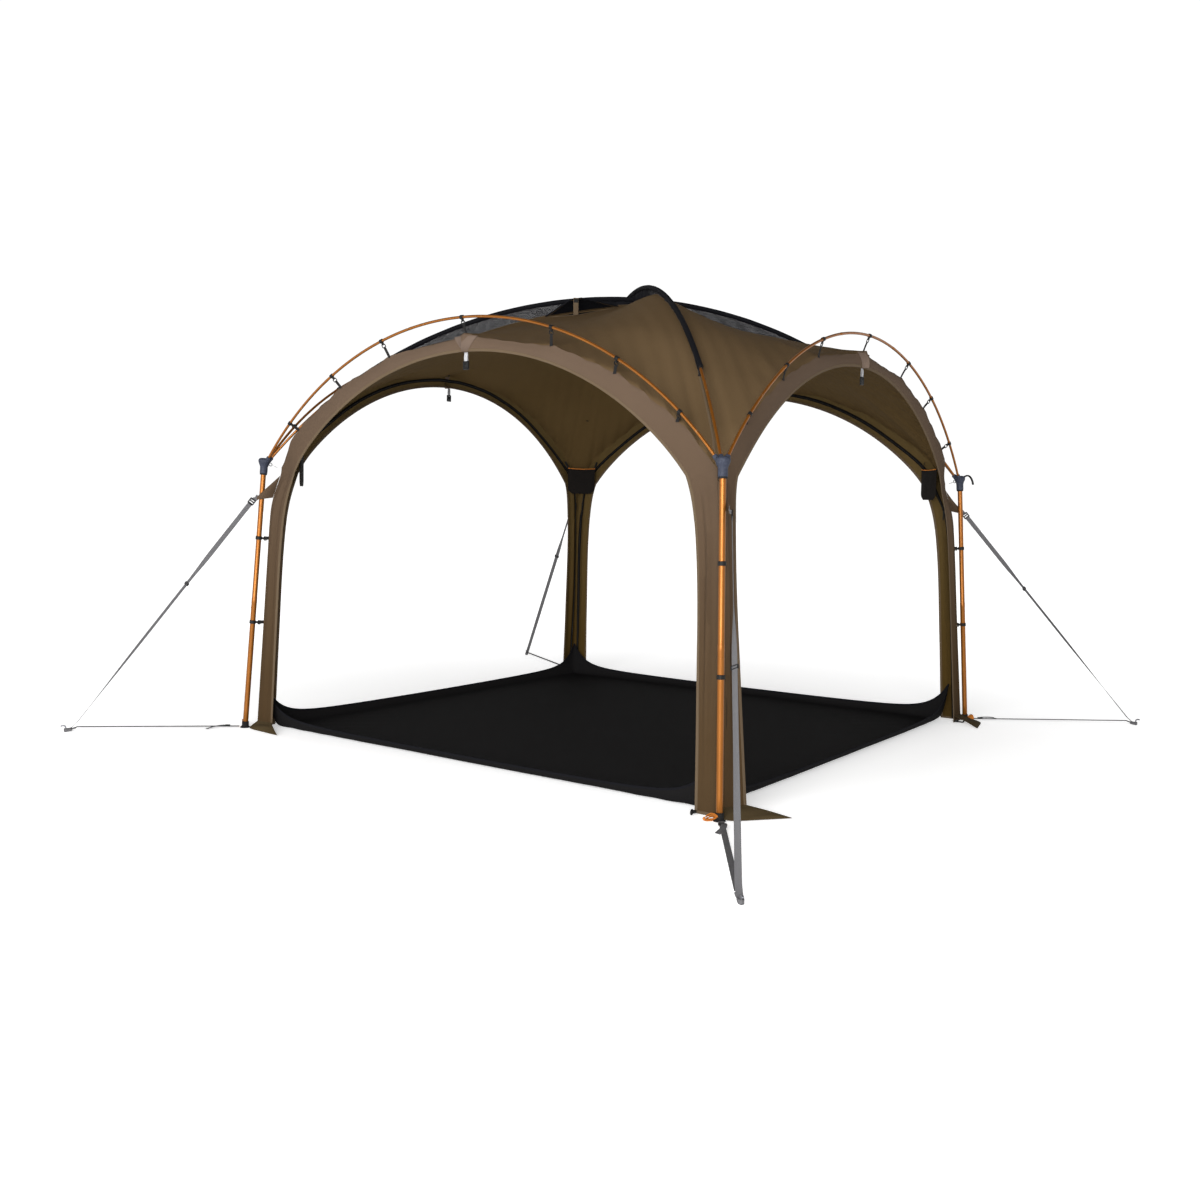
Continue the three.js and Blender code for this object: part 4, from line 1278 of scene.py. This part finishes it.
def ridge_netting(name, corner):
    """The ruffled strip between a sleeve and the roof: black cloth by the apex, then netting to the sleeve's end."""
    arch, _ = ridges[corner["ridge"]]
    seed = corner["bearing"]
    strip = Shell()
    black_to = 0.5 if corner["ridge"] == "upper" else 0.2
    for reaches, slot in ((np.linspace(0, black_to, 60), 1), (np.linspace(black_to, sleeve_half_span, 220), 0)):
        top = arch.height(reaches) - sleeve_radius * 0.85
        bottom = roof_ridge_height(corner, reaches) - 0.002
        ruffle = [math.sin(math.tau * r / 0.13 + 2.6 * noise.noise(Vector((r * 4, 0, seed)))) for r in reaches]
        rows = []
        for depth in np.linspace(0, 1, 7):
            side = 0.006 * np.array(ruffle) * math.sin(math.pi * depth) ** 0.7
            rows.append(np.stack((reaches, side, top + (bottom - top) * depth), 1))
        strip.leaf(np.array(rows), 0.0006, slot)
    strip.piece(f"ridge_netting_{name}", [grey_netting, sleeve_cloth], "sleeve_black", matrix=turned(seed))


def roof_ridge_height(corner, reaches):
    share = np.asarray(reaches) / (crease_offset * diagonal)
    lift = upper_ridge_lift(share) if corner["ridge"] == "upper" else 0
    return ridge_cloth_height(share) + lift


def ridge_seam(name, corner):
    """The taped seam where two sides of the roof meet under a ridge pole."""
    turn = turned(corner["bearing"])
    reaches = np.linspace(0.02, crease_offset * diagonal - 0.01, 90)
    nominal = drawn_in(np.stack((reaches, np.zeros(90), roof_ridge_height(corner, reaches)), 1), (0,))
    path, normals = on_cloth(nominal, turn, 0.0010)
    Shell().strap(path, Y, 0.010, 0.0024).piece(f"ridge_seam_{name}", binding_brown, "canopy_brown", matrix=turn)


def sleeve_keeper(name, corner):
    """A black loop that holds a sleeve's end to its pole and runs down to the roof."""
    arch, _ = ridges[corner["ridge"]]
    keeper = []
    for reach, drop in ((sleeve_half_span + 0.004, 0.006), (sleeve_half_span + 0.006, 0.03), (sleeve_half_span - 0.01, 0.055)):
        keeper.append((reach, 0, float(arch.height(reach)) - drop))
    strap = Shell().strap(curve_through(keeper, 10), Y, 0.016, 0.0022)
    way = Vector((1, 0, -reach_slope(arch, sleeve_half_span))).to_track_quat("Z", "Y").to_matrix().to_4x4()
    ring = Matrix.Translation((sleeve_half_span + 0.006, 0, float(arch.height(sleeve_half_span + 0.006)))) @ way
    strap.lathe([(0.0075, -0.009), (0.0092, -0.008), (0.0092, 0.008), (0.0075, 0.009)], ring, 20)
    strap.piece(f"sleeve_keeper_{name}", black_webbing, "sleeve_black", matrix=turned(corner["bearing"]))


def reach_slope(arch, reach):
    """How steeply an arch falls at a reach."""
    return reach / math.sqrt(arch.radius**2 - reach**2)


# ---- clips ----
def clip_hook(shell, place, grip, slot=0):
    """A snap hook in the place's frame: round a pole along X, with its gap beside the strap, which leaves along -Z."""
    angles = np.radians(np.linspace(-62, 250, 30))
    path = [place @ Vector((0, grip * math.cos(a), grip * math.sin(a))) for a in angles]
    shell.strap(path, place.to_3x3() @ X, 0.019, 0.0034, slot)
    shell.block((0.012, 0.008, 0.011), place @ Matrix.Translation((0, 0, -grip - 0.006)), 0.0012, slot)
    low = -grip - 0.0115
    shell.block((0.024, 0.0042, 0.0034), place @ Matrix.Translation((0, 0, low)), 0.0009, slot)
    shell.block((0.024, 0.0042, 0.0034), place @ Matrix.Translation((0, 0, low - 0.0125)), 0.0009, slot)
    for side in (-1, 1):
        shell.block((0.0032, 0.0042, 0.0155), place @ Matrix.Translation((side * 0.0104, 0, low - 0.006)), 0.0009, slot)
    return low - 0.0125


def add_arch_clips():
    for name, bearing in sides.items():
        clips = Shell()
        for x in clip_line[1:-1]:
            cloth_z = float(crease.height(x)) + (0.006 if x == 0 else 0)
            cloth_point = Vector((x, -crease_offset - 0.001, cloth_z))
            angle = math.atan2(x, cloth_z - side_arch.centre)
            pole = Vector((side_arch.radius * math.sin(angle), -hub_offset, side_arch.centre + side_arch.radius * math.cos(angle)))
            away = (pole - cloth_point).normalized()
            tangent = Vector((math.cos(angle), 0, -math.sin(angle)))
            place = axes(tangent, away.cross(tangent), pole)
            low = clip_hook(clips, place, tube_radius + 0.0017)
            start = place @ Vector((0, 0, low + 0.001))
            route = [start, start.lerp(cloth_point, 0.5) + Y * 0.001, cloth_point, cloth_point + Vector((0, -0.001, -0.007))]
            clips.strap(curve_through([tuple(p) for p in route], 10), place.to_3x3() @ X, 0.017, 0.002, 1)
        clips.piece(f"canopy_clips_{name}", [black_plastic, black_webbing], "hardware_black", matrix=turned(bearing))


def add_leg_clips(name, settings, turn):
    clips = Shell()
    for height in leg_clip_heights:
        distance = height / leg_way.z
        pole = leg_foot + leg_way * distance
        corner = Vector((float(leg_corner(height, settings)) * diagonal, 0, height))
        away = (pole - corner).normalized()
        place = axes(leg_way, away.cross(leg_way), pole)
        low = clip_hook(clips, place, leg_radius + 0.0016)
        start = place @ Vector((0, 0, low + 0.0115))
        route = [start, start.lerp(corner, 0.6), corner - X * 0.003]
        clips.strap([tuple(p) for p in route], leg_way, 0.018, 0.002, 1)
    clips.piece(f"leg_clips_{name}", [black_plastic, black_webbing], "hardware_black", matrix=turn)


# ---- hanging buckles ----
def hanging_buckle(name, bearing):
    """Under the middle of an arch: a pale webbing loop and the female half of a side-release buckle."""
    y = -crease_offset + 0.0015
    top = opening_top - 0.003
    hung = Shell()
    for side in (-1, 1):
        route = [(0, y + side * 0.0008, top), (0, y + side * 0.003, top - 0.02), (0, y + side * 0.0022, top - 0.043)]
        hung.strap(curve_through(route, 8), X, 0.020, 0.0016, 1)
    middle = Matrix.Translation((0, y, opening_top - 0.064))
    for side in (-1, 1):
        hung.block((0.0048, 0.0098, 0.040), middle @ Matrix.Translation((side * 0.0138, 0, 0)), 0.0018)
    hung.block((0.030, 0.0098, 0.0062), middle @ Matrix.Translation((0, 0, 0.0172)), 0.0018)
    hung.block((0.024, 0.0074, 0.024), middle @ Matrix.Translation((0, 0, 0.001)), 0.0018)
    hung.block((0.032, 0.0098, 0.008), middle @ Matrix.Translation((0, 0, -0.016)), 0.0022)
    piece = hung.piece(
        f"centre_buckle_{name}", [black_plastic, pale_webbing], "hardware_black", f"hanging_buckle_{name}", turned(bearing)
    )
    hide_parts(f"hanging_buckle_{name}")


def centre_tab(name, bearing):
    """The sewn triangle of cloth over the pleat, which carries the clip above and the buckle below."""
    rows = []
    for down in np.linspace(0, 1, 9):
        half = 0.062 * (1 - down) + 0.011
        z = crease_top - 0.004 + (opening_top + 0.002 - crease_top) * down
        spread = np.linspace(-1, 1, 9)
        out = centre_fold(half * spread, down) + 0.0022 + 0.007 * math.sin(math.pi * down)
        rows.append(np.stack((half * spread, -crease_offset - out, np.full(9, z)), 1))
    Shell().leaf(np.array(rows), 0.0014).piece(f"centre_tab_{name}", tab_cloth, "canopy_brown", matrix=turned(bearing))


# ---- legs' fittings ----
def guy_patch(name, corner, turn):
    """A sewn brown triangle from the leg's corner out past the pole, ending in the webbing that holds the buckle."""
    tip = guy_start + Vector((-0.030, -0.004, 0.026))
    ends = [(float(leg_corner(height, corner)) * diagonal + 0.001, 0.002, height) for height in (1.385, 1.265)]
    high, low = [Vector(end) for end in drawn_in(ends, (0,))]
    rows = []
    for share in np.linspace(0, 1, 10):
        line = []
        for height in np.linspace(0, 1, 8):
            point = high.lerp(low, height).lerp(tip + Z * 0.012 * (0.5 - height), share)
            point.y += 0.016 * math.sin(math.pi * share) * math.sin(math.pi * (0.2 + 0.6 * height))
            line.append(tuple(point))
        rows.append(line)
    patch = Shell().leaf(np.array(rows), 0.0018)
    patch.piece(f"guy_patch_{name}", wall_outside_painted_light, "canopy_brown", matrix=turn)


def guy_tab(name, corner, turn):
    along, _, steep = guy_slope(corner)
    tip = guy_start + Vector((-0.030, -0.004, 0.026))
    lock = guy_start - along * 0.026
    route = [tuple(tip - along * 0.02), tuple(tip), tuple(lock), tuple(lock + along * 0.004)]
    Shell().strap(curve_through(route, 12), steep, 0.022, 0.0026).piece(
        f"guy_tab_{name}", grey_webbing, "webbing_grey", matrix=turn)


def leg_hem(name, corner, turn):
    """The brown binding at the foot of a leg panel, with a hook and toggle at each inner corner."""
    height = 0.007
    outer = float(leg_corner(height, corner))
    ends = {}
    for side in (-1, 1):
        edge, out = float(wall_edge(height, corner, side)), float(wall_out(height, corner, side))
        ends[side] = ((edge + out) / diagonal, side * (out - edge) / diagonal, height)
    bend = outer * diagonal - 0.012
    route = [ends[-1], (bend, -0.011, height), (bend + 0.011, 0, height), (bend, 0.011, height), ends[1]]
    path = []
    for start, end in zip(route, route[1:]):
        path += [Vector(start).lerp(Vector(end), share) for share in np.linspace(0, 1, 8)[:-1]]
    path.append(Vector(route[-1]))
    Shell().strap(path, Z, 0.014, 0.0040).piece(f"leg_hem_{name}", binding_brown, "canopy_brown", matrix=turn)
    hooks = Shell()
    for side in (-1, 1):
        start = Vector(ends[side]) + Z * 0.003
        outward = Vector((1, side * 0.55, 0)).normalized()
        hooks.strap([start - outward * 0.008, start + outward * 0.012, start + outward * 0.022 - Z * 0.002], Z.cross(outward), 0.012, 0.0022, 1)
        curl = [(0.018, 0, 0.000), (0.036, 0, 0.001), (0.052, 0, 0.000), (0.059, 0, 0.009), (0.051, 0, 0.017)]
        curl += [(0.040, 0, 0.016)]
        place = axes(outward, Z.cross(outward), start - Z * 0.003)
        hooks.tube([place @ Vector(p) for p in curve_through(curl, 24)], 0.0042, 10)
        hooks.block((0.020, 0.020, 0.010), place @ Matrix.Translation((0.018, 0, 0.003)), 0.002)
    hooks.piece(f"leg_hooks_{name}", [black_plastic, black_webbing], "hardware_black", matrix=turn)


def storm_flap(name, corner, turn):
    """Pointed flaps sewn to the foot of a leg's walls, that slope down to the ground outside them."""
    bend = X * float(leg_corner(0, corner)) * diagonal
    for side, (tip_out, tip_along) in corner["flaps"].items():
        edge, out = float(wall_edge(0, corner, side)), float(wall_out(0, corner, side))
        inner = Vector(((edge + out) / diagonal, side * (out - edge) / diagonal, 0))
        along = (bend - inner).normalized()
        outward = side * Z.cross(along)
        spot = lambda out, way, height: tuple(inner + outward * out + along * way + Z * height)
        straight = [spot(0.003, 0.004, 0.040), spot(0.51 * tip_out, 0.47 * tip_along, 0.025)]
        straight = curve_through(straight + [spot(tip_out, tip_along, 0.004)], 16)
        sewn = (bend - inner).length - 0.007
        bowed = [spot(0.003, sewn, 0.036)]
        for out, way, height in ((0.38, -0.03, 0.016), (0.73, 0.06, 0.005), (0.90, 0.56, 0.004), (1.01, 0.99, 0.004)):
            bowed.append(spot(out * tip_out, sewn + (tip_along - sewn) * way, height))
        rows = []
        for index, (start, end) in enumerate(zip(straight, curve_through(bowed, 16))):
            shares = np.linspace(0, 1, 9)[:, None]
            line = start + (end - start) * shares
            wave = np.sin(math.pi * shares[:, 0]) * math.sin(math.pi * index / 15)
            line[:, 2] += 0.006 * wave * (1 + 0.6 * math.sin(0.7 * index + corner["bearing"]))
            rows.append(line)
        flap = Shell().leaf(np.array(rows), 0.0016)
        wall = "left" if side < 0 else "right"
        flap.piece(f"storm_flap_{name}_{wall}", flap_cloth, "canopy_brown", matrix=turn)


# ---- corner pockets ----
def corner_pocket(name, turn):
    """A black pouch with rounded lower corners, a bound orange mouth and two hanging tabs."""
    top = pocket_high[2]
    depth = pocket_high[2] - pocket_low[2]
    reach = 1.290 * diagonal
    half = 0.097
    front, back = [], []
    for down in np.linspace(0, 1, 15):
        narrowing = 0.06 * down + 0.30 * max(0, (down - 0.8) / 0.2) ** 2.4
        width = half * (1 - narrowing)
        spread = np.sin(np.linspace(-1, 1, 15) * math.pi / 2)
        belly = 0.0062 * (1 - spread**4) * math.sin(math.pi * (0.12 + 0.86 * down)) ** 0.7
        sag = 0.004 * np.cos(math.pi * spread / 2) * (1 - down)
        z = top - depth * 0.985 * down - sag
        front.append(np.stack((np.full(15, reach - 0.007) - belly, width * spread, z), 1))
        back.append(np.stack((np.full(15, reach - 0.004) + belly, width * spread, z), 1))
    pouch = Shell()
    pouch.leaf(np.array(front)[:, ::-1], 0.0012)
    pouch.leaf(np.array(back), 0.0012)
    rim_points = [(row[0] + other[0]) / 2 for row, other in zip(front, back)]
    rim_points += [(front[-1][i] + back[-1][i]) / 2 for i in range(1, 15)]
    rim_points += [(row[-1] + other[-1]) / 2 for row, other in zip(front[-2::-1], back[-2::-1])]
    pouch.strap(curve_through(rim_points, 60), X, 0.0085, 0.0040)
    piece = pouch.piece(f"pocket_{name}", pocket_cloth, "pocket_black", matrix=turn)
    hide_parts(f"corner_pocket_{name}")
    mouth = [front[0][i] + np.array((-0.0012, 0, 0.001)) for i in range(15)]
    Shell().tube(curve_through(mouth, 30), 0.0026, 10).piece(f"pocket_piping_{name}", orange_trim, "pocket_black", matrix=turn)
    tabs = Shell()
    for side in (-1, 1):
        start = Vector((reach - 0.005, side * (half - 0.008), top - 0.012))
        end = Vector((reach + 0.016, side * (half + 0.018), top + 0.048))
        tabs.strap([tuple(start), tuple(start.lerp(end, 0.5)), tuple(end)], Vector((0.3, side, -0.5)), 0.014, 0.0018)
    tabs.piece(f"pocket_tabs_{name}", black_webbing, "pocket_black", matrix=turn)


# ---- vent ----
def add_vent():
    turn = turned(corners["front_left"]["bearing"])
    hood_rows = []
    for share in np.linspace(0, 1, 16):
        near = vent_near + (vent_tip[0] - 0.03 - vent_near) * share
        far = vent_far + (vent_tip[0] + 0.03 - vent_far) * share
        out = vent_hinge + (vent_tip[1] - 0.0035 - vent_hinge) * share
        line = []
        for along in np.linspace(far, near, 24):
            plan = plan_in_vent(along, out)
            crown = 0.004 * math.sin(math.pi * share) * math.sin(math.pi * (along - near) / (far - near))
            line.append((along, out, cloth_height_at(plan.x, plan.y) + 0.008 + (prop_height - 0.008) * share + crown))
        hood_rows.append(line)
    hood_rows = np.array(hood_rows)
    hood = Shell().leaf(hood_rows, 0.0018)
    edge = [*hood_rows[:, 0], *hood_rows[-1, 1:-1], *hood_rows[::-1, -1]]
    hood.strap(np.array(edge) - np.array((0, 0, 0.001)), Z, 0.007, 0.0036, 1)
    lining = hood_rows.copy()
    lining[..., 2] -= 0.0026
    lining = lining[1:-1, 1:-1]
    hood.leaf(lining, 0.0008, 2)
    piece = hood.piece("vent_hood_cloth", [roof_outside, sleeve_cloth, sleeve_cloth], "canopy_brown", "vent_hood", turn)
    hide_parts("vent_hood")

    foot_plan = plan_in_vent(*vent_tip)
    foot = cloth_height_at(foot_plan.x, foot_plan.y) + 0.004
    prop = Shell()
    centre = (vent_tip[0], vent_tip[1] + 0.0015)
    heights = np.linspace(0, prop_height, 12)
    path = [(centre[0], centre[1], foot + h) for h in heights]
    prop.strap(path, X, 0.028, 0.003)
    prop.strap([(centre[0], centre[1] + 0.0018, foot + 0.066), (centre[0], centre[1] + 0.0018, foot + 0.088)], X, 0.024, 0.0014, 1)
    piece = prop.piece("vent_prop_strip", [binding_brown, black_webbing], "canopy_brown", "vent_prop", turn)
    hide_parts("vent_prop")

    net_rows = []
    near_edge, tip, far_edge = [Vector((*p, 0)) for p in vent_outline]
    for share in np.linspace(0, 1, 12):
        line = []
        for across in np.linspace(0, 1, 20):
            point = near_edge.lerp(tip, share).lerp(far_edge.lerp(tip, share), across)
            plan = plan_in_vent(point.x, point.y)
            line.append((point.x, point.y, cloth_height_at(plan.x, plan.y) - 0.0035))
        net_rows.append(line)
    Shell().leaf(np.array(net_rows)[:-1], 0.0006).piece("vent_netting", black_netting, "sleeve_black", matrix=turn)

    hem_route = [near_edge, near_edge.lerp(tip, 0.5), tip, tip.lerp(far_edge, 0.5), far_edge]
    hem = []
    for start, end in zip(hem_route, hem_route[1:]):
        for share in np.linspace(0, 1, 8)[:-1]:
            point = start.lerp(end, share)
            plan = plan_in_vent(point.x, point.y)
            hem.append((point.x, point.y, cloth_height_at(plan.x, plan.y) + 0.0006))
    plan = plan_in_vent(far_edge.x, far_edge.y)
    hem.append((far_edge.x, far_edge.y, cloth_height_at(plan.x, plan.y) + 0.0006))
    Shell().strap(hem, np.cross(np.gradient(np.array(hem), axis=0), (0, 0, 1)), 0.014, 0.0036).piece(
        "vent_binding", binding_brown, "canopy_brown", matrix=turn)


# ---- floor sheet ----
def floor_profile(values):
    """Carries -1..1 to a place across the floor and an angle up its edge: flat inside, curling up outside."""
    curl = 0.055
    reach = np.abs(values)
    flat = np.minimum(reach / 0.88, 1) * (floor_half - curl - 0.002)
    angle = np.clip((reach - 0.88) / 0.12, 0, 1) * math.pi / 2
    return np.sign(values) * (flat + curl * np.sin(angle)), angle


def add_floor_sheet():
    """A coated sheet that lies flat, curls up at its edges and is drawn up into each leg at its corners."""
    values = np.concatenate((np.linspace(-1, -0.88, 12), np.linspace(-0.88, 0.88, 100)[1:-1], np.linspace(0.88, 1, 12)))
    places, angles = floor_profile(values)
    x, y = np.meshgrid(places, places, indexing="ij")
    angle_x, angle_y = np.meshgrid(angles, angles, indexing="ij")
    from_corner = np.maximum(floor_half - np.abs(x), floor_half - np.abs(y))
    wall = 0.042 + 0.15 * np.exp(-from_corner / 0.085) + 0.03 * np.exp(-from_corner / 0.35)
    rise = wall * (1 - np.cos(angle_x) * np.cos(angle_y))
    inside = np.cos(angle_x) * np.cos(angle_y)
    waves = undulation(x, y, 5, 2.3) * 0.5 + undulation(x, y, 9, 6.0) * 0.25
    tension = np.sin(math.tau * (np.abs(x) - np.abs(y)) / 0.16) * np.exp(-from_corner / 0.35)
    z = 0.0042 + rise + inside * (0.0035 * (1 + waves) + 0.002 * tension)
    floor = Shell().leaf(np.stack((x, y, z), 2), 0.0012)
    piece = floor.piece("floor_cloth_sheet", floor_cloth, "floor_black", sharp=60)
    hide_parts("ground_sheet")
    edge_z = 0.0042 + wall[:, 0]
    hem = np.stack((places, np.full(len(places), -floor_half + 0.0022), edge_z - 0.004), 1)
    for name, bearing in sides.items():
        Shell().strap(hem, Z, 0.012, 0.0040).piece(f"floor_binding_{name}", sleeve_cloth, "floor_black", matrix=turned(bearing))


# ---- stage ----
def add_stage():
    ground = bpy.data.meshes.new("studio_floor")
    half = 60
    ground.from_pydata([(-half, -half, 0), (half, -half, 0), (half, half, 0), (-half, half, 0)], [], [(0, 1, 2, 3)])
    surface = Finish("studio_floor", 0.9)
    surface.colour(surface.blend(surface.spread(surface.noise(0.4, 2), 0, 1), (0.86, 0.86, 0.86), (0.88, 0.88, 0.88)))
    surface.shader.inputs["Emission Color"].default_value = (1, 1, 1, 1)
    away = surface.nodes.new("ShaderNodeVectorMath")
    away.operation = "LENGTH"
    surface.links.new(surface.place((0.14, 0.14, 0.14)), away.inputs[0])
    glow = surface.spread(away.outputs["Value"], 0.42, 0.95)
    surface.feed(surface.shader.inputs["Emission Strength"], glow)
    ground.materials.append(surface.material)
    floor = bpy.data.objects.new("studio_floor", ground)
    bpy.context.scene.collection.objects.link(floor)


def add_light(name, place, target, size, power):
    data = bpy.data.lights.new(name, "AREA")
    data.shape = "RECTANGLE"
    data.size, data.size_y = size
    data.energy = power
    light = bpy.data.objects.new(name, data)
    light.location = place
    light.rotation_mode = "QUATERNION"
    light.rotation_quaternion = (Vector(target) - Vector(place)).to_track_quat("-Z", "Y")
    bpy.context.scene.collection.objects.link(light)


def add_lights():
    world = bpy.data.worlds.new("studio")
    world.use_nodes = True
    nodes, links = world.node_tree.nodes, world.node_tree.links
    coordinates = nodes.new("ShaderNodeTexCoord")
    split = nodes.new("ShaderNodeSeparateXYZ")
    links.new(coordinates.outputs["Generated"], split.inputs[0])
    dimming = nodes.new("ShaderNodeMapRange")
    dimming.inputs["From Min"].default_value = 0.38
    dimming.inputs["From Max"].default_value = 0.48
    dimming.inputs["To Min"].default_value = 1.05
    dimming.inputs["To Max"].default_value = 0.12
    links.new(split.outputs[2], dimming.inputs["Value"])
    links.new(dimming.outputs[0], nodes["Background"].inputs["Strength"])
    nodes["Background"].inputs["Color"].default_value = (1, 1, 1, 1)
    bpy.context.scene.world = world
    bpy.context.scene.view_settings.view_transform = "Standard"
    add_light("key", (3.4, -9.6, 3.0), (0, 0, 1.4), (9, 4.5), 1550)
    add_light("side", (-6.5, -8, 2.6), (0, 0, 1.2), (5, 4), 60)


# ---- assembly ----
add_stage()
add_poles()
add_hubs()
for corner_name, settings in corners.items():
    corner_turn = turned(settings["bearing"])
    leg_pole(corner_name, corner_turn)
    pole_foot(corner_name, corner_turn)
    foot_pull(corner_name, corner_turn)
    corner_hook(corner_name, corner_turn)
    add_leg_clips(corner_name, settings, corner_turn)
    guy_patch(corner_name, settings, corner_turn)
    guy_tab(corner_name, settings, corner_turn)
    leg_hem(corner_name, settings, corner_turn)
    storm_flap(corner_name, settings, corner_turn)
    corner_pocket(corner_name, corner_turn)
    ridge_netting(corner_name, settings)
    ridge_seam(corner_name, settings)
    sleeve_keeper(corner_name, settings)
hub_pull("back_right", turned(corners["back_right"]["bearing"]))
for side_name, side_bearing in sides.items():
    hanging_buckle(side_name, side_bearing)
    centre_tab(side_name, side_bearing)
add_arch_clips()
add_canopy()
add_openings()
add_sleeves()
add_vent()
add_floor_sheet()
add_lights()
